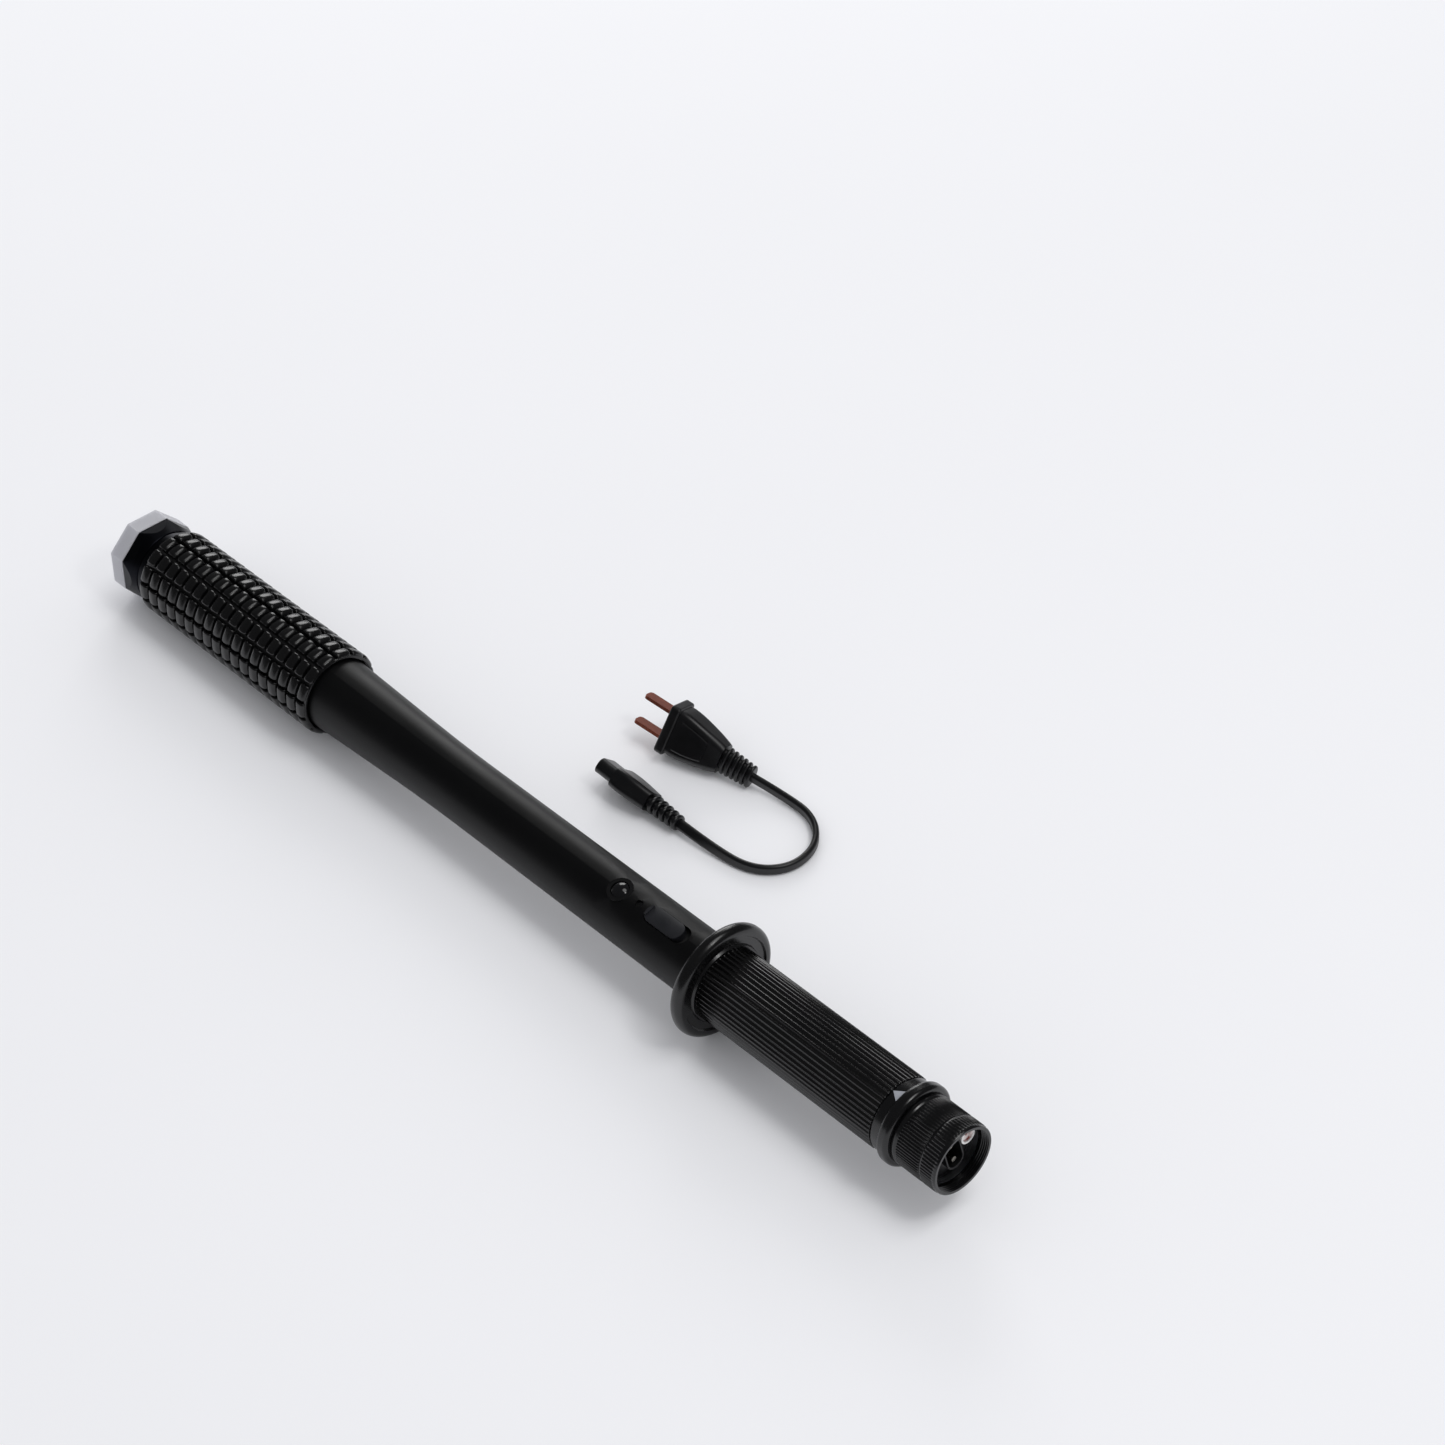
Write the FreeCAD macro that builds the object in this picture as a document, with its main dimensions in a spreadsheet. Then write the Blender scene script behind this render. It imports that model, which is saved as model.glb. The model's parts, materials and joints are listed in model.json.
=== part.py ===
import FreeCAD, Part

import math
import os
import re

import Sketcher

# Rechargeable baton torch with its detached charging lead.
# Millimetres, +Z up, origin on the table under the middle of the baton's box.
# The baton lies along X, head towards -X, on its hand guard and on the far end
# of its studded sleeve.  Stations are measured along the axis from the tail mouth.

Vector = FreeCAD.Vector
Placement = FreeCAD.Placement
Rotation = FreeCAD.Rotation

doc = FreeCAD.newDocument("baton_torch")
sheet = doc.addObject("Spreadsheet::Sheet", "Dims")

dimensions = [
    ("overall_length", 523.0),
    ("button_roll", 15.0),
    ("wall_gap", 0.05),
    # tail
    ("mouth_bore", 14.0),
    ("mouth_radius", 15.4),
    ("rim_radius", 15.75),
    ("rim_end", 8.6),
    ("rim_nose", 2.0),
    ("tube_end", 4.6),
    ("tail_bore", 12.7),
    ("seal_step", 4.0),
    ("tail_seal_start", 4.1),
    ("tail_seal_radius", 14.2),
    ("rim_thread_radius", 13.8),
    ("journal_radius", 14.35),
    ("ring_start", 8.8),
    ("ring_end", 23.7),
    ("ring_radius", 15.8),
    ("ring_root", 15.45),
    ("ring_band_start", 10.6),
    ("ring_band_end", 21.2),
    ("flange_start", 23.8),
    ("flange_end", 29.7),
    ("flange_radius", 18.3),
    ("flange_round", 2.0),
    ("collar_radius", 16.35),
    ("collar_end", 34.6),
    ("collar_bevel", 0.8),
    ("mark_depth", 0.7),
    ("mark_proud", 0.06),
    ("mark_width", 5.6),
    ("mark_apex", 34.0),
    # grip and guard
    ("grip_end", 133.0),
    ("grip_radius", 16.75),
    ("grip_root", 16.05),
    ("grip_bore", 15.1),
    ("grip_ribs", 56),
    ("groove_width", 1.05),
    ("spigot_start", 115.0),
    ("spigot_radius", 14.0),
    ("guard_end", 139.5),
    ("guard_radius", 25.9),
    ("guard_round", 2.9),
    ("guard_dish", 0.9),
    ("guard_dish_inner", 17.6),
    ("guard_dish_outer", 22.0),
    # shaft
    ("shaft_radius", 14.55),
    ("shaft_waist", 14.4),
    ("waist_station", 308.0),
    ("waist_reach", 19.0),
    ("sleeve_seat", 16.9),
    ("sleeve_start", 381.0),
    ("sleeve_end", 501.0),
    ("shaft_bore", 12.9),
    ("bore_step", 362.0),
    ("head_bore", 14.2),
    ("head_bore_start", 380.0),
    ("head_thread_radius", 15.6),
    ("head_thread_end", 511.0),
    # studded sleeve
    ("sleeve_root", 18.3),
    ("sleeve_radius", 20.35),
    ("stud_rows", 18),
    ("stud_columns", 14),
    ("ring_groove", 1.9),
    ("long_groove", 2.0),
    ("sleeve_flare", 1.0),
    # head
    ("head_ring_end", 505.1),
    ("head_ring_radius", 17.95),
    ("bezel_start", 505.3),
    ("bezel_shoulder", 513.9),
    ("bezel_end", 519.0),
    ("bezel_radius", 17.6),
    ("bezel_front_radius", 20.0),
    ("bezel_flats", 36.8),
    ("bezel_nose", 15.85),
    ("bezel_thread", 15.65),
    ("lens_seat", 14.6),
    ("lens_lip", 13.0),
    ("lens_start", 514.4),
    ("lens_end", 516.4),
    ("seal_start", 513.5),
    ("cap_start", 514.1),
    ("cap_bore", 15.95),
    ("cap_floor", 519.2),
    ("cap_window", 12.0),
    ("cap_window_end", 521.0),
    ("cap_flats", 37.2),
    ("cap_round", 0.9),
    # lamp
    ("reflector_start", 497.6),
    ("reflector_throat", 4.2),
    ("reflector_mouth", 13.2),
    ("reflector_end", 513.2),
    ("reflector_wall", 0.8),
    ("reflector_flange", 14.1),
    ("sink_start", 478.0),
    ("sink_end", 494.0),
    ("sink_radius", 14.1),
    ("board_thickness", 1.6),
    ("led_board_radius", 9.5),
    ("emitter_size", 3.5),
    ("driver_station", 464.0),
    ("driver_radius", 12.5),
    ("driver_coil_radius", 4.0),
    ("driver_coil_height", 5.0),
    ("driver_coil_shift", 4.5),
    ("driver_chip_length", 5.0),
    ("driver_chip_width", 4.0),
    ("driver_chip_height", 1.6),
    ("driver_chip_shift", 5.0),
    ("sink_way_radius", 3.0),
    ("sink_hollow_radius", 11.5),
    ("sink_hollow_depth", 8.0),
    ("emitter_height", 1.0),
    ("emitter_edge", 0.15),
    # battery
    ("holder_start", 208.0),
    ("holder_end", 350.0),
    ("holder_bore", 9.4),
    ("holder_radius", 11.2),
    ("cell_radius", 9.15),
    ("cell_length", 65.0),
    ("first_cell", 210.6),
    ("second_cell", 275.6),
    ("contact_thickness", 0.8),
    ("spring_end", 349.0),
    ("spring_radius", 5.5),
    ("spring_wire", 0.5),
    ("shock_ring_radius", 12.8),
    ("shock_ring_width", 6.0),
    ("shock_ring_inset", 8.0),
    ("shock_notch", 6.0),
    ("cell_button_radius", 3.2),
    ("cell_button_height", 1.4),
    ("lamp_wire_radius", 0.7),
    ("lamp_wire_shift", 1.0),
    # controls
    ("button_station", 192.4),
    ("button_radius", 4.0),
    ("button_travel", 1.0),
    ("button_shoulder", 13.9),
    ("button_dome", 1.7),
    ("button_foot", 11.0),
    ("button_foot_radius", 4.8),
    ("button_ring_radius", 5.7),
    ("button_ring_top", 14.35),
    ("button_ring_base", 12.1),
    ("lamp_hole_station", 180.6),
    ("lamp_hole_radius", 1.7),
    ("pipe_radius", 1.6),
    ("pipe_top", 13.6),
    ("slot_start", 151.5),
    ("slot_end", 176.0),
    ("slot_width", 8.8),
    ("slider_start", 154.9),
    ("slider_end", 175.7),
    ("slider_width", 8.1),
    ("slider_top", 15.1),
    ("slider_base", 11.6),
    ("slider_travel", 3.1),
    ("ridge_height", 0.75),
    ("board_level", 6.0),
    ("board_start", 150.0),
    ("board_end", 204.0),
    ("board_width", 17.0),
    ("cradle_base", 3.0),
    ("cradle_floor", 1.0),
    ("cradle_channel_width", 12.0),
    ("board_screw_inset", 4.0),
    ("board_screw_across", 7.2),
    ("board_screw_radius", 0.8),
    ("board_screw_length", 5.0),
    ("board_screw_head", 1.25),
    ("board_head_height", 1.1),
    ("button_flange_height", 0.8),
    ("plunger_base", 8.6),
    ("plunger_radius", 1.7),
    ("tact_width", 6.2),
    ("tact_height", 2.3),
    ("ridge_inset", 1.5),
    ("ridge_length", 1.1),
    ("ridge_width", 5.2),
    ("slider_foot_size", 3.0),
    ("slider_foot_base", 9.6),
    ("guide_base", 10.6),
    ("guide_shift", 1.5),
    ("guide_length", 27.0),
    ("guide_width", 11.4),
    ("guide_thick", 0.7),
    ("guide_way_length", 9.5),
    ("foot_way_width", 3.2),
    ("switch_length", 19.0),
    ("switch_width", 7.2),
    ("switch_height", 2.9),
    ("switch_way_length", 7.5),
    ("switch_way_depth", 1.5),
    ("indicator_length", 3.2),
    ("indicator_width", 1.6),
    ("indicator_height", 1.1),
    ("clear_through", 20.0),
    # charging inlet
    ("socket_face", 4.9),
    ("socket_floor", 14.5),
    ("socket_back", 18.0),
    ("pin_pitch", 8.6),
    ("pin_radius", 1.19),
    ("pin_tip", 5.9),
    ("pin_back", 22.0),
    ("floor_start", 8.6),
    ("floor_end", 11.6),
    ("charge_board_start", 40.0),
    ("charge_board_end", 86.0),
    ("charge_board_width", 20.0),
    ("charge_board_level", 2.4),
    ("socket_length", 16.8),
    ("socket_width", 8.8),
    ("well_length", 14.8),
    ("well_width", 7.6),
    ("lamp_level", 1.8),
    ("lamp_across", 8.6),
    ("lamp_start", 5.3),
    ("lamp_ring_radius", 3.6),
    ("lamp_ring_length", 7.0),
    ("lamp_lens_radius", 2.7),
    ("lamp_lens_length", 10.0),
    ("lamp_lens_sunk", 0.5),
    ("floor_screw_level", 3.5),
    ("floor_screw_across", 8.6),
    ("floor_screw_radius", 1.0),
    ("floor_screw_head", 1.9),
    ("floor_head_height", 1.3),
    ("floor_screw_length", 5.0),
    ("screw_slot_width", 0.5),
    ("inlet_wire_radius", 0.8),
    ("coil_length", 14.0),
    ("coil_width", 12.0),
    ("coil_height", 7.2),
    ("coil_shift", 8.0),
    ("capacitor_radius", 3.1),
    ("capacitor_height", 8.0),
    ("chip_length", 6.0),
    ("chip_width", 5.0),
    ("chip_height", 1.7),
    ("small_part_shift", 9.0),
    # charging lead
    ("flange_width", 23.7),
    ("flange_depth", 14.6),
    ("flange_thick", 4.6),
    ("plug_length", 29.0),
    ("blade_pitch", 12.7),
    ("blade_width", 6.35),
    ("blade_thick", 1.5),
    ("blade_reach", 15.0),
    ("relief_length", 15.5),
    ("relief_ribs", 6),
    ("cord_width", 4.8),
    ("nose_width", 14.2),
    ("nose_depth", 7.1),
    ("nose_corner", 3.0),
    ("nose_length", 9.5),
    ("connector_length", 28.5),
    ("connector_relief_length", 16.5),
    ("connector_ribs", 5),
]
for line, (alias, number) in enumerate(dimensions, start=1):
    sheet.set("A%d" % line, alias)
    sheet.set("B%d" % line, str(number))
    sheet.setAlias("B%d" % line, alias)
doc.recompute()
size = {alias: float(number) for alias, number in dimensions}


def bound(text):
    """The expression that reads every name in text from the sheet."""
    return re.sub(r"[a-z][a-z_]+", lambda word: "Dims." + word.group(), text)


# ---------------------------------------------------------------- frames

# The baton tilts head down, because its guard is larger than its sleeve.
guard_contact = (size["grip_end"] + size["guard_end"]) / 2
tilt = math.atan((size["guard_radius"] - size["sleeve_radius"]) / (size["sleeve_end"] - guard_contact))
towards_head = Vector(-math.cos(tilt), 0, -math.sin(tilt))
above = Vector(-math.sin(tilt), 0, math.cos(tilt))
roll = math.radians(size["button_roll"])
towards_button = above * math.cos(roll) + Vector(0, -math.sin(roll), 0)
tail_height = size["guard_radius"] / math.cos(tilt) + guard_contact * math.tan(tilt)
tail_centre = Vector(size["overall_length"] / 2, 0, tail_height)
baton = Placement(
    tail_centre,
    Rotation(towards_button, towards_head.cross(towards_button), towards_head, "ZXY"),
)
# In the baton's own frame Z is the axis, from the tail mouth to the head, and
# X points out through the button.
outwards = Rotation(Vector(0, 1, 0), 90)


def on_axis(station, turn=0.0):
    return baton.multiply(Placement(Vector(0, 0, station), Rotation(Vector(0, 0, 1), turn)))


def on_button_side(level, station, across=0.0):
    """A frame whose Z points out through the wall at the button's side."""
    return baton.multiply(Placement(Vector(level, across, station), outwards))


# ---------------------------------------------------------------- makers

def bind(target, **sizes):
    for name, text in sizes.items():
        target.setExpression(name, bound(text))
    return target


def value(text):
    """What a bound expression comes to."""
    numbers = re.sub(r"[a-z][a-z_]+", lambda word: repr(size[word.group()]), text)
    return float(sheet.evalExpression(numbers))


def outline_sketch(body, role, corners):
    """A closed outline on one of the body's origin planes, every corner bound.

    A corner with a third entry starts an arc of that radius, bulging to the
    left of the way to the next corner.
    """
    plane = [item for item in body.Origin.OriginFeatures if item.Role == role][0]
    sketch = body.newObject("Sketcher::SketchObject", body.Name + "_outline")
    sketch.AttachmentSupport = [(plane, "")]
    sketch.MapMode = "FlatFace"
    points = [Vector(value(corner[0]), value(corner[1]), 0) for corner in corners]
    first_ends = []
    last_ends = []
    for corner, start, end in zip(corners, points, points[1:] + points[:1]):
        if len(corner) == 2:
            sketch.addGeometry(Part.LineSegment(start, end), False)
            first_ends.append(1)
            last_ends.append(2)
            continue
        radius = value(corner[2])
        chord = end - start
        sag = radius - math.sqrt(radius ** 2 - chord.Length ** 2 / 4)
        middle = (start + end) / 2 + Vector(-chord.y, chord.x, 0).normalize() * sag
        # A sketch's arcs run anticlockwise, so this one starts at its far end.
        edge = sketch.addGeometry(Part.Arc(end, middle, start), False)
        place = sketch.addConstraint(Sketcher.Constraint("Radius", edge, radius))
        sketch.setExpression("Constraints[%d]" % place, bound(corner[2]))
        first_ends.append(2)
        last_ends.append(1)
    total = len(corners)
    for i in range(total):
        following = (i + 1) % total
        sketch.addConstraint(Sketcher.Constraint("Coincident", i, last_ends[i], following, first_ends[following]))
    for i, corner in enumerate(corners):
        for kind, axis, text, number in (
            ("DistanceX", -2, corner[0], points[i].x),
            ("DistanceY", -1, corner[1], points[i].y),
        ):
            if text == "0":
                sketch.addConstraint(Sketcher.Constraint("PointOnObject", i, first_ends[i], axis))
                continue
            place = sketch.addConstraint(Sketcher.Constraint(kind, -1, 1, i, first_ends[i], number))
            sketch.setExpression("Constraints[%d]" % place, bound(text))
    return sketch


def turned(name, corners):
    """A body turned about the axis from a profile of radius and station."""
    body = doc.addObject("PartDesign::Body", name)
    body.Placement = baton
    sketch = outline_sketch(body, "XZ_Plane", corners)
    turn = body.newObject("PartDesign::Revolution", name + "_turned")
    turn.Profile = sketch
    turn.ReferenceAxis = (sketch, ["V_Axis"])
    turn.Angle = 360
    doc.recompute()
    return body


def padded(name, corners, length, place=baton):
    """A body padded along its own Z from an outline."""
    body = doc.addObject("PartDesign::Body", name)
    body.Placement = place
    sketch = outline_sketch(body, "XY_Plane", corners)
    pad = body.newObject("PartDesign::Pad", name + "_pad")
    pad.Profile = sketch
    bind(pad, Length=length)
    doc.recompute()
    return body


def rounded(body, radius, wanted):
    """Fillets the edges of the body's tip that the test picks."""
    base = body.Tip
    names = ["Edge%d" % (i + 1) for i, edge in enumerate(base.Shape.Edges) if wanted(edge)]
    fillet = body.newObject("PartDesign::Fillet", body.Name + "_round")
    fillet.Base = (base, names)
    bind(fillet, Radius=radius)
    doc.recompute()
    return body


def circle_at(radius, station):
    """Picks the full circle of that radius and station."""
    def wanted(edge):
        curve = edge.Curve
        if not isinstance(curve, Part.Circle):
            return False
        return abs(curve.Radius - radius) < 0.01 and abs(curve.Center.z - station) < 0.01
    return wanted


def cylinder(name, radius, height, place):
    piece = doc.addObject("Part::Cylinder", name)
    piece.Placement = place
    return bind(piece, Radius=radius, Height=height)


def block(name, length, width, height, place):
    """A box centred on its frame in X and Y, standing on it in Z."""
    piece = doc.addObject("Part::Box", name)
    bind(piece, Length=length, Width=width, Height=height)
    doc.recompute()
    middle = Vector(-piece.Length.Value / 2, -piece.Width.Value / 2, 0)
    piece.Placement = place.multiply(Placement(middle, Rotation()))
    return piece


def without(name, base, *tools):
    cut = doc.addObject("Part::Cut", name)
    cut.Base = base
    cut.Tool = tools[0] if len(tools) == 1 else together(name + "_tools", *tools)
    return cut


def together(name, *pieces):
    fuse = doc.addObject("Part::MultiFuse", name)
    fuse.Shapes = list(pieces)
    return fuse


def within(name, *pieces):
    shared = doc.addObject("Part::MultiCommon", name)
    shared.Shapes = list(pieces)
    return shared


def slot(name, length, width, height, place):
    """A stadium that runs along its frame's X, centred, standing on it in Z."""
    middle = block(name + "_middle", "%s - (%s)" % (length, width), width, height, place)
    shift = middle.Length.Value / 2
    ends = [
        cylinder(name + "_end", "(%s) / 2" % width, height, place.multiply(Placement(Vector(x, 0, 0), Rotation())))
        for x in (-shift, shift)
    ]
    return together(name, middle, *ends)


def ready(name, shape, place=None):
    """A piece whose shape is worked out below from the sheet's numbers."""
    piece = doc.addObject("Part::Feature", name)
    piece.Shape = shape
    if place is not None:
        piece.Placement = place
    return piece


nodes = {}


def keep(node, piece):
    """Names the finished sub-part, which names its file."""
    piece.Label = node
    nodes[node] = piece
    return piece


# ---------------------------------------------------------------- tail

# Rim: screwed on the handle tube's end, it keeps the turning ring on.
keep("tail_rim", turned("rim", [
    ("mouth_bore", "0"), ("mouth_radius", "0"), ("rim_radius", "rim_nose"), ("rim_radius", "rim_end"),
    ("rim_thread_radius", "rim_end"), ("rim_thread_radius", "tube_end"), ("tail_seal_radius", "tube_end"),
    ("tail_seal_radius", "seal_step"), ("mouth_bore", "seal_step"),
]))

# Handle tube: carries the ring's journal, the grip and the shaft's spigot.
keep("handle_tube", turned("handle", [
    ("tail_bore", "tube_end"), ("rim_thread_radius", "tube_end"), ("rim_thread_radius", "rim_end"),
    ("journal_radius", "rim_end"), ("journal_radius", "collar_end"), ("grip_bore", "collar_end"),
    ("grip_bore", "grip_end"), ("spigot_radius", "grip_end"), ("spigot_radius", "spigot_start"),
    ("tail_bore", "spigot_start"),
]))

# Turning ring: runs on the journal between the rim and the flange.
ring_turned = turned("ring", [
    ("journal_radius + wall_gap", "ring_start"), ("ring_root", "ring_start"),
    ("ring_radius", "ring_band_start"), ("ring_radius", "ring_band_end"),
    ("ring_root", "ring_band_end + 0.5"), ("ring_radius", "ring_band_end + 1.2"), ("ring_radius", "ring_end"),
    ("journal_radius + wall_gap", "ring_end"),
])
keep("tail_ring", ring_turned)

keep("flange_ring", rounded(turned("flange", [
    ("journal_radius", "flange_start"), ("flange_radius", "flange_start"),
    ("flange_radius", "flange_end"), ("journal_radius", "flange_end"),
]), "flange_round", lambda edge: circle_at(size["flange_radius"], size["flange_start"])(edge)
    or circle_at(size["flange_radius"], size["flange_end"])(edge)))

# Collar with the triangle that marks the ring's rest position.
collar_blank = turned("collar", [
    ("journal_radius", "flange_end"), ("collar_radius", "flange_end"),
    ("collar_radius", "collar_end - collar_bevel"), ("collar_radius - collar_bevel / 2", "collar_end"),
    ("journal_radius", "collar_end"),
])


def triangle(name, low, high):
    """The index triangle's prism, between two levels at the button's side."""
    half = size["mark_width"] / 2
    base = size["flange_end"] + 0.25
    corners = [Vector(0, -half, base), Vector(0, half, base), Vector(0, 0, size["mark_apex"])]
    face = Part.Face(Part.makePolygon([point + Vector(low, 0, 0) for point in corners + corners[:1]]))
    return ready(name, face.extrude(Vector(high - low, 0, 0)), baton)


mark_floor = size["collar_radius"] - size["mark_depth"]
keep("grip_collar", without("collar_cut", collar_blank, triangle("mark_pocket", mark_floor, 20)))
mark_skin = cylinder("mark_skin", "collar_radius + mark_proud", "collar_end", baton)
keep("index_mark", within("mark_inlay", triangle("mark_prism", mark_floor, 20), mark_skin))

# Seal: lies in the rim's step, against the end of the handle tube.
keep("tail_seal", turned("seal", [
    ("tail_bore", "tail_seal_start"), ("tail_seal_radius", "tail_seal_start"),
    ("tail_seal_radius", "tube_end"), ("tail_bore", "tube_end"),
]))

# ---------------------------------------------------------------- charging inlet

inlet_face = on_axis(size["socket_face"])
socket_block = slot("socket_block", "socket_length", "socket_width", "socket_back - socket_face", inlet_face)
socket_well = slot("socket_well", "well_length", "well_width", "socket_floor - socket_face", inlet_face)


def at_pins(name, radius, start, end):
    shift = size["pin_pitch"] / 2
    return [
        cylinder(name, radius, "%s - %s" % (end, start), baton.multiply(
            Placement(Vector(x, 0, size[start]), Rotation())))
        for x in (-shift, shift)
    ]


keep("inlet_pins", together("pins", *at_pins("pin", "pin_radius", "pin_tip", "pin_back")))
pin_ways = at_pins("pin_way", "pin_radius", "pin_tip", "pin_back")
keep("inlet_socket", without("socket", socket_block, socket_well, *pin_ways))



def beside_axis(level, across, station):
    """A frame along the axis, set off from it towards the button and across."""
    return baton.multiply(Placement(Vector(level, across, station), Rotation()))


lamp_place = beside_axis(size["lamp_level"], size["lamp_across"], size["lamp_start"])
lens_place = beside_axis(size["lamp_level"], size["lamp_across"], size["lamp_start"] + size["lamp_lens_sunk"])
keep("charge_lamp_ring", without(
    "lamp_ring", cylinder("lamp_ring_blank", "lamp_ring_radius", "lamp_ring_length", lamp_place),
    cylinder("lamp_ring_bore", "lamp_lens_radius", "lamp_ring_length", lamp_place)))
keep("charge_lamp", cylinder("lamp_lens", "lamp_lens_radius", "lamp_lens_length", lens_place))

floor_disc = cylinder("floor_disc", "tail_bore", "floor_end - floor_start", on_axis(size["floor_start"]))
floor_socket_way = slot("floor_socket_way", "socket_length", "socket_width", "socket_back", on_axis(0))
floor_lamp_way = cylinder("floor_lamp_way", "lamp_ring_radius", "clear_through", lamp_place)
floor_screw_ways = []
floor_screws = []
for level in (-size["floor_screw_level"], size["floor_screw_level"]):
    head_place = beside_axis(level, -size["floor_screw_across"], size["floor_start"] - size["floor_head_height"])
    shank_place = beside_axis(level, -size["floor_screw_across"], size["floor_start"])
    floor_screw_ways.append(cylinder("floor_screw_way", "floor_screw_radius", "floor_screw_length", shank_place))
    head = cylinder("floor_screw_top", "floor_screw_head", "floor_head_height", head_place)
    slit = block("floor_screw_slot", "2 * floor_screw_head", "screw_slot_width", "screw_slot_width", head_place)
    floor_screws.append(without("floor_screw_slotted", head, slit))
    floor_screws.append(cylinder("floor_screw_shank", "floor_screw_radius", "floor_screw_length", shank_place))
keep("tail_floor", without("floor", floor_disc, floor_socket_way, floor_lamp_way, *floor_screw_ways))
keep("floor_screws", together("floor_fixings", *floor_screws))

# Charging circuit board and the wires from the pins to it.
charge_middle = (size["charge_board_start"] + size["charge_board_end"]) / 2
charge_frame = baton.multiply(Placement(Vector(-size["charge_board_level"], 0, charge_middle), outwards))


def on_board(frame, along, across):
    """A place on top of a circuit board whose frame is given."""
    return frame.multiply(Placement(Vector(along, across, size["board_thickness"]), Rotation()))


charge_plate = block(
    "charge_plate", "charge_board_end - charge_board_start", "charge_board_width", "board_thickness", charge_frame)
small_shift = size["small_part_shift"]
charge_parts = [
    block("charge_coil", "coil_length", "coil_width", "coil_height", on_board(charge_frame, size["coil_shift"], 0)),
    cylinder("charge_capacitor", "capacitor_radius", "capacitor_height",
             on_board(charge_frame, -small_shift, small_shift / 2)),
    block("charge_chip", "chip_length", "chip_width", "chip_height",
          on_board(charge_frame, -small_shift, -small_shift / 2)),
]
keep("charge_board", together("charge_circuit", charge_plate, *charge_parts))
keep("inlet_wires", together(
    "inlet_leads", *at_pins("inlet_lead", "inlet_wire_radius", "pin_back", "charge_board_start")))

# ---------------------------------------------------------------- grip and guard

grip = turned("grip", [
    ("grip_bore", "collar_end"), ("grip_radius", "collar_end"),
    ("grip_radius", "grip_end"), ("grip_bore", "grip_end"),
])


def grooves(body, corners, count):
    """Equal grooves along the whole body, cut once and repeated round the axis."""
    sketch = outline_sketch(body, "XY_Plane", corners)
    pocket = body.newObject("PartDesign::Pocket", body.Name + "_groove")
    pocket.Profile = sketch
    pocket.Type = "ThroughAll"
    pocket.Midplane = True
    doc.recompute()
    pattern = body.newObject("PartDesign::PolarPattern", body.Name + "_grooves")
    pattern.Originals = [pocket]
    pattern.Axis = (sketch, ["N_Axis"])
    pattern.Angle = 360
    bind(pattern, Occurrences=count)
    body.Tip = pattern
    doc.recompute()
    return body


keep("ribbed_grip", grooves(grip, [
    ("grip_root", "-groove_width / 6"), ("grip_radius + 0.5", "-groove_width * 0.6"),
    ("grip_radius + 0.5", "groove_width * 0.6"), ("grip_root", "groove_width / 6"),
], "grip_ribs"))

keep("guard_disc", rounded(turned("guard", [
    ("spigot_radius", "grip_end"), ("guard_dish_inner", "grip_end"),
    ("guard_dish_inner + 0.6", "grip_end + guard_dish"), ("guard_dish_outer - 0.6", "grip_end + guard_dish"),
    ("guard_dish_outer", "grip_end"), ("guard_radius", "grip_end"),
    ("guard_radius", "guard_end"), ("spigot_radius", "guard_end"),
]), "guard_round", lambda edge: circle_at(size["guard_radius"], size["grip_end"])(edge)
    or circle_at(size["guard_radius"], size["guard_end"])(edge)))

# ---------------------------------------------------------------- shaft

# Its waist is an arc, tangent to the nearly straight tube and to the flare.
tube_slope = "(shaft_waist - shaft_radius) / (waist_station - guard_end)"
flare_slope = "(sleeve_seat - shaft_waist) / (sleeve_start - waist_station)"
shaft = turned("shaft", [
    ("shaft_bore", "spigot_start"), ("spigot_radius", "spigot_start"), ("spigot_radius", "guard_end"),
    ("shaft_radius", "guard_end"),
    ("shaft_waist - waist_reach * %s" % tube_slope, "waist_station - waist_reach",
     "2 * waist_reach / (%s - %s)" % (flare_slope, tube_slope)),
    ("shaft_waist + waist_reach * %s" % flare_slope, "waist_station + waist_reach"),
    ("sleeve_seat", "sleeve_start"),
    ("sleeve_seat", "sleeve_end"), ("head_thread_radius", "sleeve_end"),
    ("head_thread_radius", "head_thread_end"), ("head_bore", "head_thread_end"),
    ("head_bore", "head_bore_start"), ("shaft_bore", "bore_step"),
])
slot_middle = (size["slot_start"] + size["slot_end"]) / 2
inside = size["board_level"]
button_way = cylinder(
    "button_way", "button_ring_radius", "clear_through", on_button_side(inside, size["button_station"]))
lamp_way = cylinder(
    "lamp_way", "lamp_hole_radius", "clear_through", on_button_side(inside, size["lamp_hole_station"]))
slot_way = slot(
    "slot_way", "slot_end - slot_start", "slot_width", "clear_through", on_button_side(inside, slot_middle))
keep("shaft_tube", without("shaft_cut", shaft, button_way, lamp_way, slot_way))

# Studded sleeve: a thick rubber tube cut by ring grooves and long grooves.
pitch = "(sleeve_end - sleeve_start) / stud_rows"
sleeve = turned("sleeve", [
    ("sleeve_seat + sleeve_flare", "sleeve_start"), ("sleeve_radius", "sleeve_start"),
    ("sleeve_radius", "sleeve_end"), ("sleeve_seat", "sleeve_end"),
    ("sleeve_seat", "sleeve_start + 3"),
])
ring_sketch = outline_sketch(sleeve, "XZ_Plane", [
    ("sleeve_root", "sleeve_start + %s - ring_groove * 0.3" % pitch),
    ("sleeve_radius + 1", "sleeve_start + %s - ring_groove * 0.8" % pitch),
    ("sleeve_radius + 1", "sleeve_start + %s + ring_groove * 0.8" % pitch),
    ("sleeve_root", "sleeve_start + %s + ring_groove * 0.3" % pitch),
])
ring_cut = sleeve.newObject("PartDesign::Groove", "sleeve_ring_groove")
ring_cut.Profile = ring_sketch
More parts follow.
